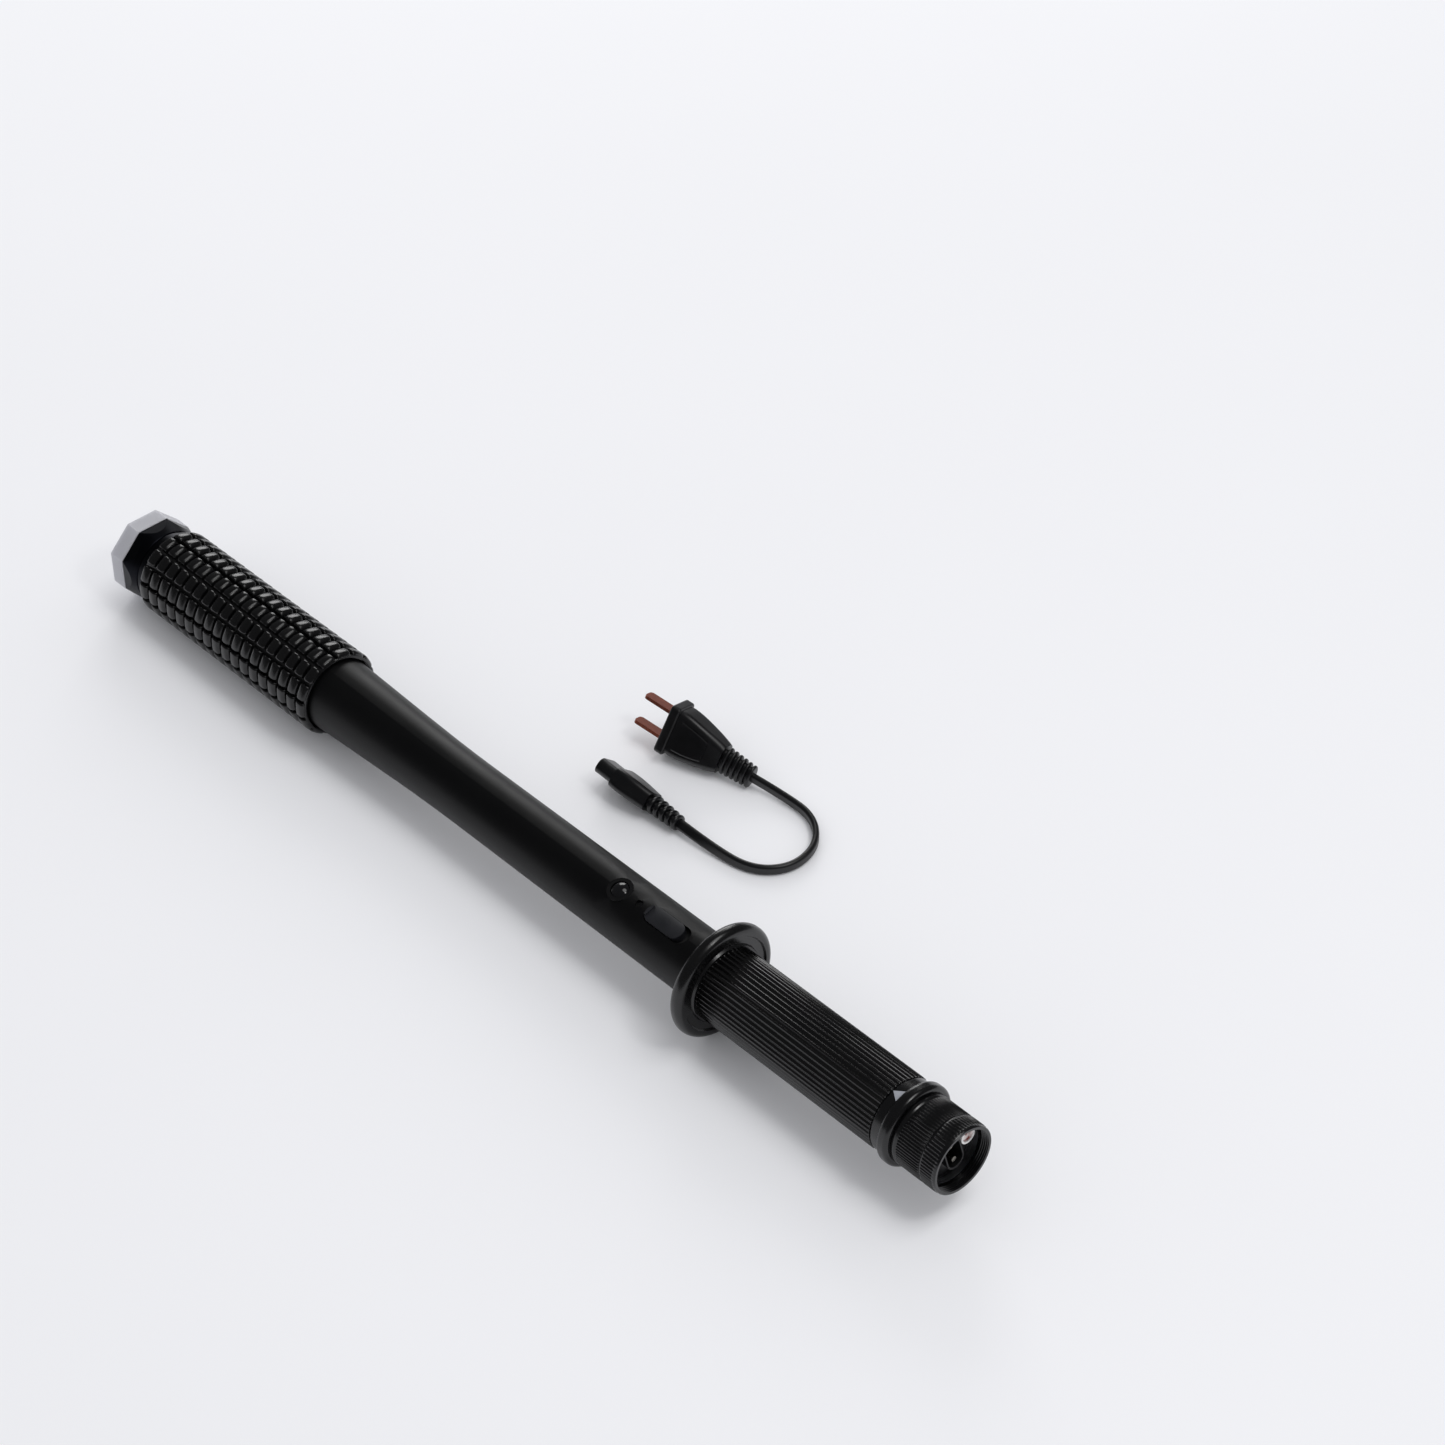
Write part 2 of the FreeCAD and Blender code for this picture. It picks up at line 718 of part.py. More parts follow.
ring_cut.ReferenceAxis = (ring_sketch, ["V_Axis"])
ring_cut.Angle = 360
doc.recompute()
ring_cuts = sleeve.newObject("PartDesign::LinearPattern", "sleeve_ring_grooves")
ring_cuts.Originals = [ring_cut]
ring_cuts.Direction = (ring_sketch, ["V_Axis"])
bind(ring_cuts, Length="(sleeve_end - sleeve_start) / stud_rows * (stud_rows - 2)", Occurrences="stud_rows - 1")
sleeve.Tip = ring_cuts
doc.recompute()
keep("studded_sleeve", grooves(sleeve, [
    ("sleeve_root", "-long_groove * 0.3"), ("sleeve_radius + 1", "-long_groove * 0.8"),
    ("sleeve_radius + 1", "long_groove * 0.8"), ("sleeve_root", "long_groove * 0.3"),
], "stud_columns"))

# ---------------------------------------------------------------- head

keep("head_ring", turned("retainer", [
    ("head_thread_radius", "sleeve_end"), ("head_ring_radius - 0.4", "sleeve_end"),
    ("head_ring_radius", "sleeve_end + 0.4"), ("head_ring_radius", "head_ring_end - 1.5"),
    ("head_ring_radius - 0.8", "head_ring_end - 1.2"), ("head_ring_radius - 0.8", "head_ring_end"),
    ("head_thread_radius", "head_ring_end"),
]))


def octagon(flats):
    """The corners of an octagon of that size across its flats, one flat square to the button."""
    corners = []
    for side in range(8):
        angle = math.radians(size["button_roll"] + 22.5 + 45 * side)
        corner_radius = 1 / (2 * math.cos(math.radians(22.5)))
        corners.append(("%s * %.9f" % (flats, corner_radius * math.cos(angle)),
                        "%s * %.9f" % (flats, corner_radius * math.sin(angle))))
    return corners


# Bezel: a turned cone whose front is milled to the cap's octagon.
bezel_cone = turned("bezel", [
    ("bezel_thread", "bezel_start"), ("bezel_radius - 0.3", "bezel_start"), ("bezel_radius", "bezel_start + 0.3"),
    ("bezel_front_radius", "bezel_shoulder"), ("bezel_nose", "bezel_shoulder"), ("bezel_nose", "bezel_end"),
    ("lens_lip", "bezel_end"), ("lens_lip", "lens_end"), ("lens_seat", "lens_end"),
    ("lens_seat", "head_thread_end + 0.3"), ("bezel_thread", "head_thread_end + 0.3"),
])
bezel_prism = padded(
    "bezel_prism", octagon("bezel_flats"), "bezel_end - bezel_start", on_axis(size["bezel_start"]))
keep("lens_bezel", within("bezel_milled", bezel_cone, bezel_prism))
keep("front_lens", cylinder("lens", "lens_seat - wall_gap", "lens_end - lens_start", on_axis(size["lens_start"])))
keep("lens_seal", turned("lens_ring", [
    ("lens_lip", "seal_start"), ("lens_seat", "seal_start"), ("lens_seat", "lens_start"), ("lens_lip", "lens_start"),
]))

# Octagonal end cap, pushed over the bezel's nose.
cap_body = padded("cap", octagon("cap_flats"), "overall_length - cap_start", on_axis(size["cap_start"]))
cap_body = rounded(cap_body, "cap_round", lambda edge: edge.BoundBox.ZMin > 0.1)
cap_bore = cylinder("cap_hollow", "cap_bore", "cap_floor - cap_start", on_axis(size["cap_start"]))
cap_window = cylinder("cap_window_way", "cap_window", "cap_window_end - cap_start", on_axis(size["cap_start"]))
keep("end_cap", without("cap_cut", cap_body, cap_bore, cap_window))

# ---------------------------------------------------------------- lamp

# The reflector's bowl is a parabola from the throat to the mouth.
bowl_depth = size["reflector_end"] - size["reflector_start"]
inner_bowl = []
outer_bowl = []
for step in range(7):
    share = step / 6
    radius = math.sqrt(size["reflector_throat"] ** 2 * (1 - share) + size["reflector_mouth"] ** 2 * share)
    station = size["reflector_start"] + share * bowl_depth
    inner_bowl.append(Vector(radius, 0, station))
    outer_bowl.append(Vector(radius + size["reflector_wall"], 0, station))
inner_curve = Part.BSplineCurve()
inner_curve.interpolate(inner_bowl)
outer_curve = Part.BSplineCurve()
outer_curve.interpolate(outer_bowl)
bowl_wire = Part.Wire([
    inner_curve.toShape(),
    Part.makeLine(inner_bowl[-1], outer_bowl[-1]),
    outer_curve.toShape(),
    Part.makeLine(outer_bowl[0], inner_bowl[0]),
])
bowl = Part.Face(bowl_wire).revolve(Vector(0, 0, 0), Vector(0, 0, 1), 360)
keep("reflector", ready("bowl", bowl, baton))

led_base = size["sink_end"]
keep("heat_sink", without(
    "sink", cylinder("sink_blank", "sink_radius", "sink_end - sink_start", on_axis(size["sink_start"])),
    cylinder("sink_way", "sink_way_radius", "sink_end - sink_start", on_axis(size["sink_start"])),
    cylinder("sink_hollow", "sink_hollow_radius", "sink_hollow_depth", on_axis(size["sink_start"]))))
keep("led_board", cylinder("led_plate", "led_board_radius", "board_thickness", on_axis(led_base)))
emitter_base = on_axis(led_base + size["board_thickness"])
emitter_block = block("emitter_block", "emitter_size", "emitter_size", "emitter_height", emitter_base)
emitter_dome = doc.addObject("Part::Sphere", "emitter_dome")
emitter_dome.Placement = emitter_base.multiply(Placement(Vector(0, 0, size["emitter_height"]), Rotation()))
emitter_dome.Angle1 = 0
bind(emitter_dome, Radius="emitter_size / 2 - emitter_edge")
keep("led_emitter", together("emitter", emitter_block, emitter_dome))
driver_plate = cylinder("driver_plate", "driver_radius", "board_thickness", on_axis(size["driver_station"]))
driver_frame = on_axis(size["driver_station"])
driver_coil = cylinder(
    "driver_coil", "driver_coil_radius", "driver_coil_height", on_board(driver_frame, -size["driver_coil_shift"], 0))
driver_chip = block(
    "driver_chip", "driver_chip_length", "driver_chip_width", "driver_chip_height",
    on_board(driver_frame, size["driver_chip_shift"], 0))
keep("driver_board", together("driver", driver_plate, driver_coil, driver_chip))

# ---------------------------------------------------------------- battery

keep("battery_holder", turned("holder", [
    ("holder_bore", "holder_start"), ("holder_radius", "holder_start"),
    ("holder_radius", "holder_end"), ("holder_bore", "holder_end"),
]))


def cell(name, start):
    """One cell: can, insulated shoulder and button."""
    can = cylinder(name + "_can", "cell_radius", "cell_length - cell_button_height", on_axis(size[start]))
    button = cylinder(name + "_button", "cell_button_radius", "cell_button_height", on_axis(
        size[start] + size["cell_length"] - size["cell_button_height"]))
    return together(name, can, button)


keep("rear_cell", cell("cell_one", "first_cell"))
keep("front_cell", cell("cell_two", "second_cell"))
keep("rear_contact", cylinder(
    "rear_plate", "holder_bore", "contact_thickness", on_axis(size["first_cell"] - size["contact_thickness"])))
keep("front_contact", cylinder(
    "front_plate", "holder_bore", "contact_thickness", on_axis(size["holder_end"] - size["contact_thickness"])))
spring_start = size["second_cell"] + size["cell_length"] + size["spring_wire"]
spring_length = size["holder_end"] - size["contact_thickness"] - size["spring_wire"] - spring_start
spring_turns = 3
points_per_turn = 16
coil_points = []
for step in range(spring_turns * points_per_turn + 1):
    angle = 2 * math.pi * step / points_per_turn
    rise = spring_length * step / (spring_turns * points_per_turn)
    coil_points.append(Vector(
        size["spring_radius"] * math.cos(angle), size["spring_radius"] * math.sin(angle), rise))
coil_curve = Part.BSplineCurve()
coil_curve.interpolate(coil_points)
coil_start = coil_curve.tangent(coil_curve.FirstParameter)[0]
wire_section = Part.Wire([Part.makeCircle(size["spring_wire"], coil_points[0], coil_start)])
coil = Part.Wire([coil_curve.toShape()]).makePipeShell([wire_section], True, True)
keep("battery_spring", ready("coil", coil, on_axis(spring_start)))

# Rubber rings round the holder, notched where the lamp's wires pass.
rings = []
wire_level = (size["holder_radius"] + size["shaft_bore"]) / 2
ring_inset = size["shock_ring_inset"]
for station in (size["holder_start"] + ring_inset, size["holder_end"] - ring_inset - size["shock_ring_width"]):
    start = on_axis(station)
    outer = cylinder("shock_ring_blank", "shock_ring_radius", "shock_ring_width", start)
    bore = cylinder("shock_ring_bore", "holder_radius", "shock_ring_width", start)
    notch = block("shock_ring_notch", "shock_notch", "shock_notch", "shock_ring_width", start.multiply(
        Placement(Vector(-wire_level, 0, 0), Rotation())))
    rings.append(without("shock_ring", outer, bore, notch))
keep("shock_rings", together("shock_ring_pair", *rings))
lamp_leads = []
for across in (-size["lamp_wire_shift"], size["lamp_wire_shift"]):
    start = beside_axis(-wire_level, across, size["board_end"])
    lamp_leads.append(cylinder("lamp_lead", "lamp_wire_radius", "driver_station - board_end", start))
keep("lamp_wires", together("lamp_leads", *lamp_leads))

# ---------------------------------------------------------------- controls

board_middle = (size["board_start"] + size["board_end"]) / 2
cradle_tube = cylinder(
    "cradle_round", "shaft_bore - wall_gap", "board_end - board_start", on_axis(size["board_start"]))
cradle_band = block(
    "cradle_band", "board_end - board_start", "2 * shaft_bore", "board_level + cradle_base",
    on_button_side(-size["cradle_base"], board_middle))
cradle_channel = block(
    "cradle_channel", "board_end", "cradle_channel_width", "board_level + cradle_floor",
    on_button_side(-size["cradle_floor"], board_middle))
board_top = size["board_level"] + size["board_thickness"]
cradle_screw_ways = []
board_screw_ways = []
board_screws = []
for station in (size["board_start"] + size["board_screw_inset"], size["board_end"] - size["board_screw_inset"]):
    for across in (-size["board_screw_across"], size["board_screw_across"]):
        shank = on_button_side(board_top - size["board_screw_length"], station, across)
        for ways in (cradle_screw_ways, board_screw_ways, board_screws):
            ways.append(cylinder("board_screw_shank", "board_screw_radius", "board_screw_length", shank))
        board_screws.append(cylinder(
            "board_screw_top", "board_screw_head", "board_head_height", on_button_side(board_top, station, across)))
keep("board_cradle", without(
    "cradle", within("cradle_blank", cradle_tube, cradle_band), cradle_channel, *cradle_screw_ways))
board_plate = block(
    "board_plate", "board_end - board_start", "board_width", "board_thickness",
    on_button_side(size["board_level"], board_middle))
keep("switch_board", without("board", board_plate, *board_screw_ways))
keep("board_screws", together("board_fixings", *board_screws))

# Dome button, its ring in the shaft's wall and the switch under it.
button_base = on_button_side(size["button_ring_base"], size["button_station"])
ring_blank = cylinder("button_ring_blank", "button_ring_radius", "button_ring_top - button_ring_base", button_base)
ring_bore = cylinder("button_ring_bore", "button_radius + wall_gap", "button_ring_top - button_ring_base", button_base)
keep("button_ring", without("button_surround", ring_blank, ring_bore))
# The dome is a cap of a sphere on the button's stem.
dome_radius = (size["button_radius"] ** 2 + size["button_dome"] ** 2) / (2 * size["button_dome"])
dome = doc.addObject("Part::Sphere", "button_ball")
dome.Placement = on_button_side(
    size["button_shoulder"] + size["button_dome"] - dome_radius, size["button_station"])
bind(dome, Radius="(button_radius * button_radius + button_dome * button_dome) / (2 * button_dome)")
dome_stem = cylinder(
    "button_column", "button_radius", "button_shoulder + button_dome - button_foot",
    on_button_side(size["button_foot"], size["button_station"]))
button_foot = cylinder(
    "button_flange", "button_foot_radius", "button_flange_height", on_button_side(size["button_foot"], size["button_station"]))
keep("push_button", together("button_blank", within("button_top", dome_stem, dome), button_foot))
keep("switch_plunger", cylinder(
    "plunger", "plunger_radius", "button_foot - plunger_base",
    on_button_side(size["plunger_base"], size["button_station"])))
tact_base = on_button_side(board_top, size["button_station"])
tact_block = block("tact_block", "tact_width", "tact_width", "tact_height", tact_base)
tact_well = cylinder("tact_well", "plunger_radius + wall_gap", "tact_height", tact_base)
keep("tact_switch", without("tact", tact_block, tact_well))

# Thumb slider in its slot, with the guide and the switch under it.
slider_middle = (size["slider_start"] + size["slider_end"]) / 2
slider_length = "slider_end - slider_start"
slider_blank = slot(
    "slider_blank", slider_length, "slider_width", "slider_top - slider_base",
    on_button_side(size["slider_base"], slider_middle))
slider_crown = cylinder("slider_crown", "slider_top", "guard_end + slider_end", on_axis(0))
slider_ridge = block(
    "slider_ridge", "ridge_length", "ridge_width", "slider_top - slider_base + ridge_height",
    on_button_side(size["slider_base"], size["slider_end"] - size["ridge_inset"]))
slider_foot = block(
    "slider_foot", "slider_foot_size", "slider_foot_size", "slider_base - slider_foot_base",
    on_button_side(size["slider_foot_base"], slider_middle))
keep("thumb_slider", together(
    "slider", within("slider_body", slider_blank, slider_crown), slider_ridge, slider_foot))
foot_middle = slider_middle - size["slider_travel"] / 2
guide_plate = block(
    "guide_plate", "guide_length", "guide_width", "guide_thick",
    on_button_side(size["guide_base"], slot_middle - size["guide_shift"]))
guide_way = block(
    "guide_way", "guide_way_length", "foot_way_width", "guide_thick", on_button_side(size["guide_base"], foot_middle))
keep("slider_guide", without("guide", guide_plate, guide_way))
switch_block = block(
    "switch_block", "switch_length", "switch_width", "switch_height", on_button_side(board_top, slot_middle))
switch_way = block(
    "switch_way", "switch_way_length", "foot_way_width", "switch_height",
    on_button_side(board_top + size["switch_height"] - size["switch_way_depth"], foot_middle))
keep("slide_switch", without("switch", switch_block, switch_way))
keep("indicator_led", block(
    "indicator_chip", "indicator_length", "indicator_width", "indicator_height",
    on_button_side(board_top, size["lamp_hole_station"])))
keep("indicator_pipe", cylinder(
    "light_pipe", "pipe_radius", "pipe_top - board_level - board_thickness - indicator_height",
    on_button_side(board_top + size["indicator_height"], size["lamp_hole_station"])))

# ---------------------------------------------------------------- charging lead

# The plug stands on the edge of its flange, rolled and a little nose up.
plug_nose = Vector(-0.960, -0.205, 0.186).normalize()
plug_up = Vector(0.082, 0.432, 0.900)
plug_up = (plug_up - plug_nose * plug_up.dot(plug_nose)).normalize()
plug_centre = Vector(-15.0, 98.8, 13.65)
plug = Placement(plug_centre, Rotation(plug_up, plug_nose.cross(plug_up), plug_nose, "ZXY"))
connector_nose = Vector(-0.992, -0.055, 0.11).normalize()
connector_side = Vector(0, -0.72, 0.694)
connector_side = (connector_side - connector_nose * connector_side.dot(connector_nose)).normalize()
connector_centre = Vector(-16.9, 63.0, 9.55)
connector = Placement(
    connector_centre,
    Rotation(connector_side, connector_nose.cross(connector_side), connector_nose, "ZXY"),
)


def rounded_section(width, depth, corner, level):
    """A rounded rectangle across Z at the given level."""
    x = width / 2 - corner
    y = depth / 2 - corner
    half = corner * math.sqrt(0.5)
    edges = []
    for turn, (cx, cy) in enumerate(((x, y), (-x, y), (-x, -y), (x, -y))):
        centre = Vector(cx, cy, level)
        quarter = Rotation(Vector(0, 0, 1), 90 * turn)
        start = centre + quarter.multVec(Vector(corner, 0, 0))
        middle = centre + quarter.multVec(Vector(half, half, 0))
        end = centre + quarter.multVec(Vector(0, corner, 0))
        edges.append(Part.Arc(start, middle, end).toShape())
    arcs = len(edges)
    loop = []
    for i, arc in enumerate(edges):
        following = edges[(i + 1) % arcs]
        loop.append(arc)
        loop.append(Part.makeLine(arc.Vertexes[-1].Point, following.Vertexes[0].Point))
    return Part.Wire(loop)


def lofted(sections):
    return Part.makeLoft([rounded_section(*section) for section in sections], True, False)


rib_step = 2.0


def relief(start, length, ribs, first, last):
    """Ribbed strain relief: flat rounded ribs on a narrower core, all tapering."""
    core = lofted([
        (width - rib_step, depth - rib_step, (depth - rib_step) / 2 - 0.1, level)
        for (width, depth), level in ((first, start), (last, start - length))
    ])
    spacing = length / ribs
    for i in range(ribs):
        share = i / (ribs - 1)
        width = first[0] + (last[0] - first[0]) * share
        depth = first[1] + (last[1] - first[1]) * share
        top = start - spacing * i - spacing * 0.4
        section = rounded_section(width, depth, depth / 2 - 0.1, top)
        rib = Part.Face(section).extrude(Vector(0, 0, -spacing * 0.6))
        core = core.fuse(rib)
    return core.removeSplitter()


flange_thick = size["flange_thick"]
plug_length = size["plug_length"]
flange_shape = Part.Face(rounded_section(size["flange_width"], size["flange_depth"], 2.0, 0)).extrude(
    Vector(0, 0, -flange_thick))
flange_shape = flange_shape.makeFillet(1.0, [
    edge for edge in flange_shape.Edges if abs(edge.BoundBox.ZMax - edge.BoundBox.ZMin) < 0.01])
plug_shape = lofted([
    (21.8, 12.8, 3.0, -flange_thick + 1.0),
    (21.6, 12.8, 3.0, -10.0),
    (19.1, 12.2, 3.0, -17.0),
    (16.6, 11.0, 3.0, -23.0),
    (13.2, 9.4, 3.0, -plug_length),
])
panel_shape = lofted([
    (15.0, 13.6, 1.2, -7.5),
    (14.0, 13.4, 1.2, -13.0),
    (10.4, 12.0, 1.2, -21.5),
])
blade_ways = []
blade_solids = []
blade_inside = 9.0
for side in (-1, 1):
    length = size["blade_reach"] + blade_inside
    corner = Vector(side * size["blade_pitch"] / 2 - size["blade_thick"] / 2, -size["blade_width"] / 2, -blade_inside)
    blade = Part.makeBox(size["blade_thick"], size["blade_width"], length, corner)
    blade_ways.append(blade.copy())
    tips = [edge for edge in blade.Edges
            if edge.BoundBox.ZMin > size["blade_reach"] - 0.01 and edge.BoundBox.XLength > 1.0]
    blade_solids.append(blade.makeFillet(1.8, tips))
plug_solid = flange_shape.fuse([plug_shape, panel_shape]).removeSplitter()
for way in blade_ways:
    plug_solid = plug_solid.cut(way)
keep("plug_body", ready("plug_moulding", plug_solid, plug))
keep("plug_blades", ready("blades", Part.makeCompound(blade_solids), plug))
keep("plug_relief", ready(
    "plug_boot", relief(-plug_length, size["relief_length"], int(size["relief_ribs"]), (13.2, 9.2), (11.0, 7.8)), plug))

nose_length = size["nose_length"]
connector_length = size["connector_length"]
nose_shape = Part.Face(rounded_section(size["nose_width"], size["nose_depth"], size["nose_corner"], 0)).extrude(
    Vector(0, 0, -nose_length))
connector_shape = lofted([
    (15.4, 9.2, 2.6, -nose_length),
    (15.6, 9.6, 2.6, -nose_length - 5.0),
    (13.8, 9.2, 2.6, -nose_length - 13.0),
    (11.2, 8.8, 2.6, -connector_length),
])
connector_solid = nose_shape.fuse(connector_shape).removeSplitter()
contact_solids = []
for side in (-1, 1):
    well = Part.makeCylinder(2.0, 9.0, Vector(side * size["pin_pitch"] / 2, 0, -9.0))
    connector_solid = connector_solid.cut(well)
    sleeve_start = Vector(side * size["pin_pitch"] / 2, 0, -9.0)
    contact = Part.makeCylinder(2.0, 7.8, sleeve_start).cut(Part.makeCylinder(1.3, 7.8, sleeve_start))
    contact_solids.append(contact)
keep("connector_body", ready("connector_moulding", connector_solid, connector))
keep("connector_contacts", ready("contacts", Part.makeCompound(contact_solids), connector))
keep("connector_relief", ready(
    "connector_boot",
    relief(-connector_length, size["connector_relief_length"], int(size["connector_ribs"]), (11.0, 8.8), (9.0, 7.4)),
    connector))

# Cord: straight runs joined by tangent arcs, from the plug's boot to the connector's.
cord_radius = size["cord_width"] / 2
plug_exit = plug.multVec(Vector(0, 0, -plug_length - size["relief_length"]))
connector_exit = connector.multVec(Vector(0, 0, -connector_length - size["connector_relief_length"]))
print("cord exits", plug_exit, connector_exit)
route = [
    plug_exit,
    Vector(44.0, 111.8, 2.8),
    Vector(62.0, 112.0, 2.5),
    Vector(76.0, 100.8, 2.5),
    Vector(79.0, 83.6, 2.5),
    Vector(69.4, 70.6, 2.5),
    Vector(51.2, 66.8, 2.5),
    connector_exit,
]
path_edges = []
path_length = 0.0
place = route[0]
for before, corner, after in zip(route, route[1:], route[2:]):
    inwards = (before - corner).normalize()
    onwards = (after - corner).normalize()
    turn = math.pi - inwards.getAngle(onwards)
    shorter = min((before - corner).Length, (after - corner).Length)
    bend = 0.45 * shorter / math.tan(turn / 2)
    reach = 0.45 * shorter
    arc_start = corner + inwards * reach
    arc_end = corner + onwards * reach
    bisector = (inwards + onwards).normalize()
    arc_middle = corner + bisector * (bend / math.cos(turn / 2) - bend)
    path_edges.append(Part.LineSegment(place, arc_start).toShape())
    path_edges.append(Part.Arc(arc_start, arc_middle, arc_end).toShape())
    path_length += (arc_start - place).Length + bend * turn
    place = arc_end
    print("cord turn %.0f degrees, radius %.1f mm" % (math.degrees(turn), bend))
path_edges.append(Part.LineSegment(place, route[-1]).toShape())
path_length += (route[-1] - place).Length
cord_path = Part.Wire(path_edges)
cord_section = Part.Wire([Part.makeCircle(cord_radius, route[0], route[1] - route[0])])
cord_solid = cord_path.makePipeShell([cord_section], True, False)
print("cord length %.1f mm, volume %.1f, section times length %.1f" % (
    path_length, cord_solid.Volume, math.pi * cord_radius ** 2 * path_length))
keep("lead_cable", ready("cord", cord_solid))

# ---------------------------------------------------------------- checks and files

doc.recompute()
for item in doc.Objects:
    if "Invalid" in item.State or "Error" in item.State:
        raise RuntimeError("%s did not build: %s" % (item.Name, item.State))
for node, piece in nodes.items():
    shape = piece.Shape
    if shape.isNull() or not shape.isValid() or not shape.Solids:
        raise RuntimeError("%s has no valid solid" % node)

os.makedirs("parts", exist_ok=True)
for node, piece in nodes.items():
    piece.Shape.exportStep(os.path.join("parts", node + ".step"))
    print("%-20s solids %d volume %.0f" % (node, len(piece.Shape.Solids), piece.Shape.Volume))
print("tilt %.3f degrees, nodes %d" % (math.degrees(tilt), len(nodes)))
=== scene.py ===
import bmesh
import bpy
import json
import math
from mathutils import Matrix, Vector


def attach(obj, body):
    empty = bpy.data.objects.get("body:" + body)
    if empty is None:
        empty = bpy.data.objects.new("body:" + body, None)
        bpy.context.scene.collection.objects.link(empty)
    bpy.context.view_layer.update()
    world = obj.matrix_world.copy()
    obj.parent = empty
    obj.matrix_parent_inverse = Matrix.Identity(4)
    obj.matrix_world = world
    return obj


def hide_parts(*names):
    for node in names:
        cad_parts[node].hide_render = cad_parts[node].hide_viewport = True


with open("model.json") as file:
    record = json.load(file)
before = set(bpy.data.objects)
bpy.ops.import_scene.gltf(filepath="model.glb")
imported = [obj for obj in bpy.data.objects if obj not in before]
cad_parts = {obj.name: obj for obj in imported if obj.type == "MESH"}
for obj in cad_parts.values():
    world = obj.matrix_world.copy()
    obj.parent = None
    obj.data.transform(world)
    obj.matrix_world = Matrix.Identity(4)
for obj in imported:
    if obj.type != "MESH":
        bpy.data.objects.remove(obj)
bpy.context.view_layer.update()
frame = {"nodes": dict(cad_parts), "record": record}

# ---------------------------------------------------------------- the set
# The baton and its lead lie on a plain white paper sweep in a bright studio: a broad soft light overhead,
# one large box behind and to the left, a small box over the tail, and an even fill all round.  A long lens
# looks down on the tail.

SENSOR_WIDTH = 36
FOCAL_LENGTH = 99.65
SIGHT = 20
CAMERA_PLACE = (0.96651, -0.77260, 1.14923)
CAMERA_AIM = (-0.55689, 0.51203, -0.65399)
camera_data = bpy.data.cameras.new("camera")
camera_data.sensor_width = SENSOR_WIDTH
camera_data.lens = FOCAL_LENGTH
camera_data.clip_end = SIGHT
camera = bpy.data.objects.new("camera", camera_data)
bpy.context.scene.collection.objects.link(camera)
camera.location = CAMERA_PLACE
camera.rotation_euler = Vector(CAMERA_AIM).to_track_quat("-Z", "Y").to_euler()
bpy.context.scene.camera = camera
bpy.context.scene.view_settings.view_transform = "Standard"


def colour(code):
    """A six-digit hex sRGB colour as linear RGBA."""
    channels = [int(code[place:place + 2], 16) / 255 for place in (0, 2, 4)]
    linear = [c / 12.92 if c <= 0.04045 else ((c + 0.055) / 1.055) ** 2.4 for c in channels]
    return (*linear, 1)


def lamp(name, kind, towards, power, spread):
    """A soft light: a far sun of that angular width in degrees, or a soft box of that size in metres."""
    data = bpy.data.lights.new(name, kind)
    data.energy = power
    if kind == "SUN":
        data.angle = math.radians(spread)
    else:
        data.size = spread
    light = bpy.data.objects.new(name, data)
    light.location = towards
    light.rotation_euler = (-Vector(towards)).to_track_quat("-Z", "Y").to_euler()
    bpy.context.scene.collection.objects.link(light)


lamp("overhead", "SUN", towards=(0.22, 0.24, 0.95), power=0.62, spread=30)
lamp("back_box", "AREA", towards=(-1.6, 1.5, 0.9), power=12, spread=1.0)
lamp("tail_box", "AREA", towards=(0.75, 0.15, 1.1), power=1.6, spread=0.22)
# The fill lights every surface evenly, but is seven times dimmer in a reflection, so black gloss stays
# black.
FILL = 0.70
MIRRORED_FILL = 0.10
world = bpy.data.worlds.new("studio")
world.use_nodes = True
background = world.node_tree.nodes["Background"]
background.inputs["Color"].default_value = colour("F4F5F8")
ray = world.node_tree.nodes.new("ShaderNodeLightPath")
strength = world.node_tree.nodes.new("ShaderNodeMapRange")
strength.inputs["To Min"].default_value = FILL
strength.inputs["To Max"].default_value = MIRRORED_FILL
world.node_tree.links.new(ray.outputs["Is Glossy Ray"], strength.inputs["Value"])
world.node_tree.links.new(strength.outputs["Result"], background.inputs["Strength"])
bpy.context.scene.world = world


def add_node(material, kind, sockets=None, **settings):
    """Adds a node; a socket takes a number or colour, or a (node, output) pair that is linked to it."""
    node = material.node_tree.nodes.new(kind)
    for name, setting in settings.items():
        setattr(node, name, setting)
    for name, source in (sockets or {}).items():
        if isinstance(source, tuple) and isinstance(source[0], bpy.types.Node):
            material.node_tree.links.new(source[0].outputs[source[1]], node.inputs[name])
        else:
            node.inputs[name].default_value = source
    return node


def blank(name):
    """An empty material that holds only its object coordinates; shade adds the shader and output."""
    material = bpy.data.materials.new(name)
    material.use_nodes = True
    material.node_tree.nodes.clear()
    return material, (add_node(material, "ShaderNodeTexCoord"), "Object")


def shade(material, sockets):
    """Ends a material in its shader."""
    shader = add_node(material, "ShaderNodeBsdfPrincipled", sockets)
    add_node(material, "ShaderNodeOutputMaterial", {"Surface": (shader, "BSDF")})
    return material


# Most of a noise pattern's values lie between these two.
NOISE_LOW = 0.3
NOISE_HIGH = 0.7


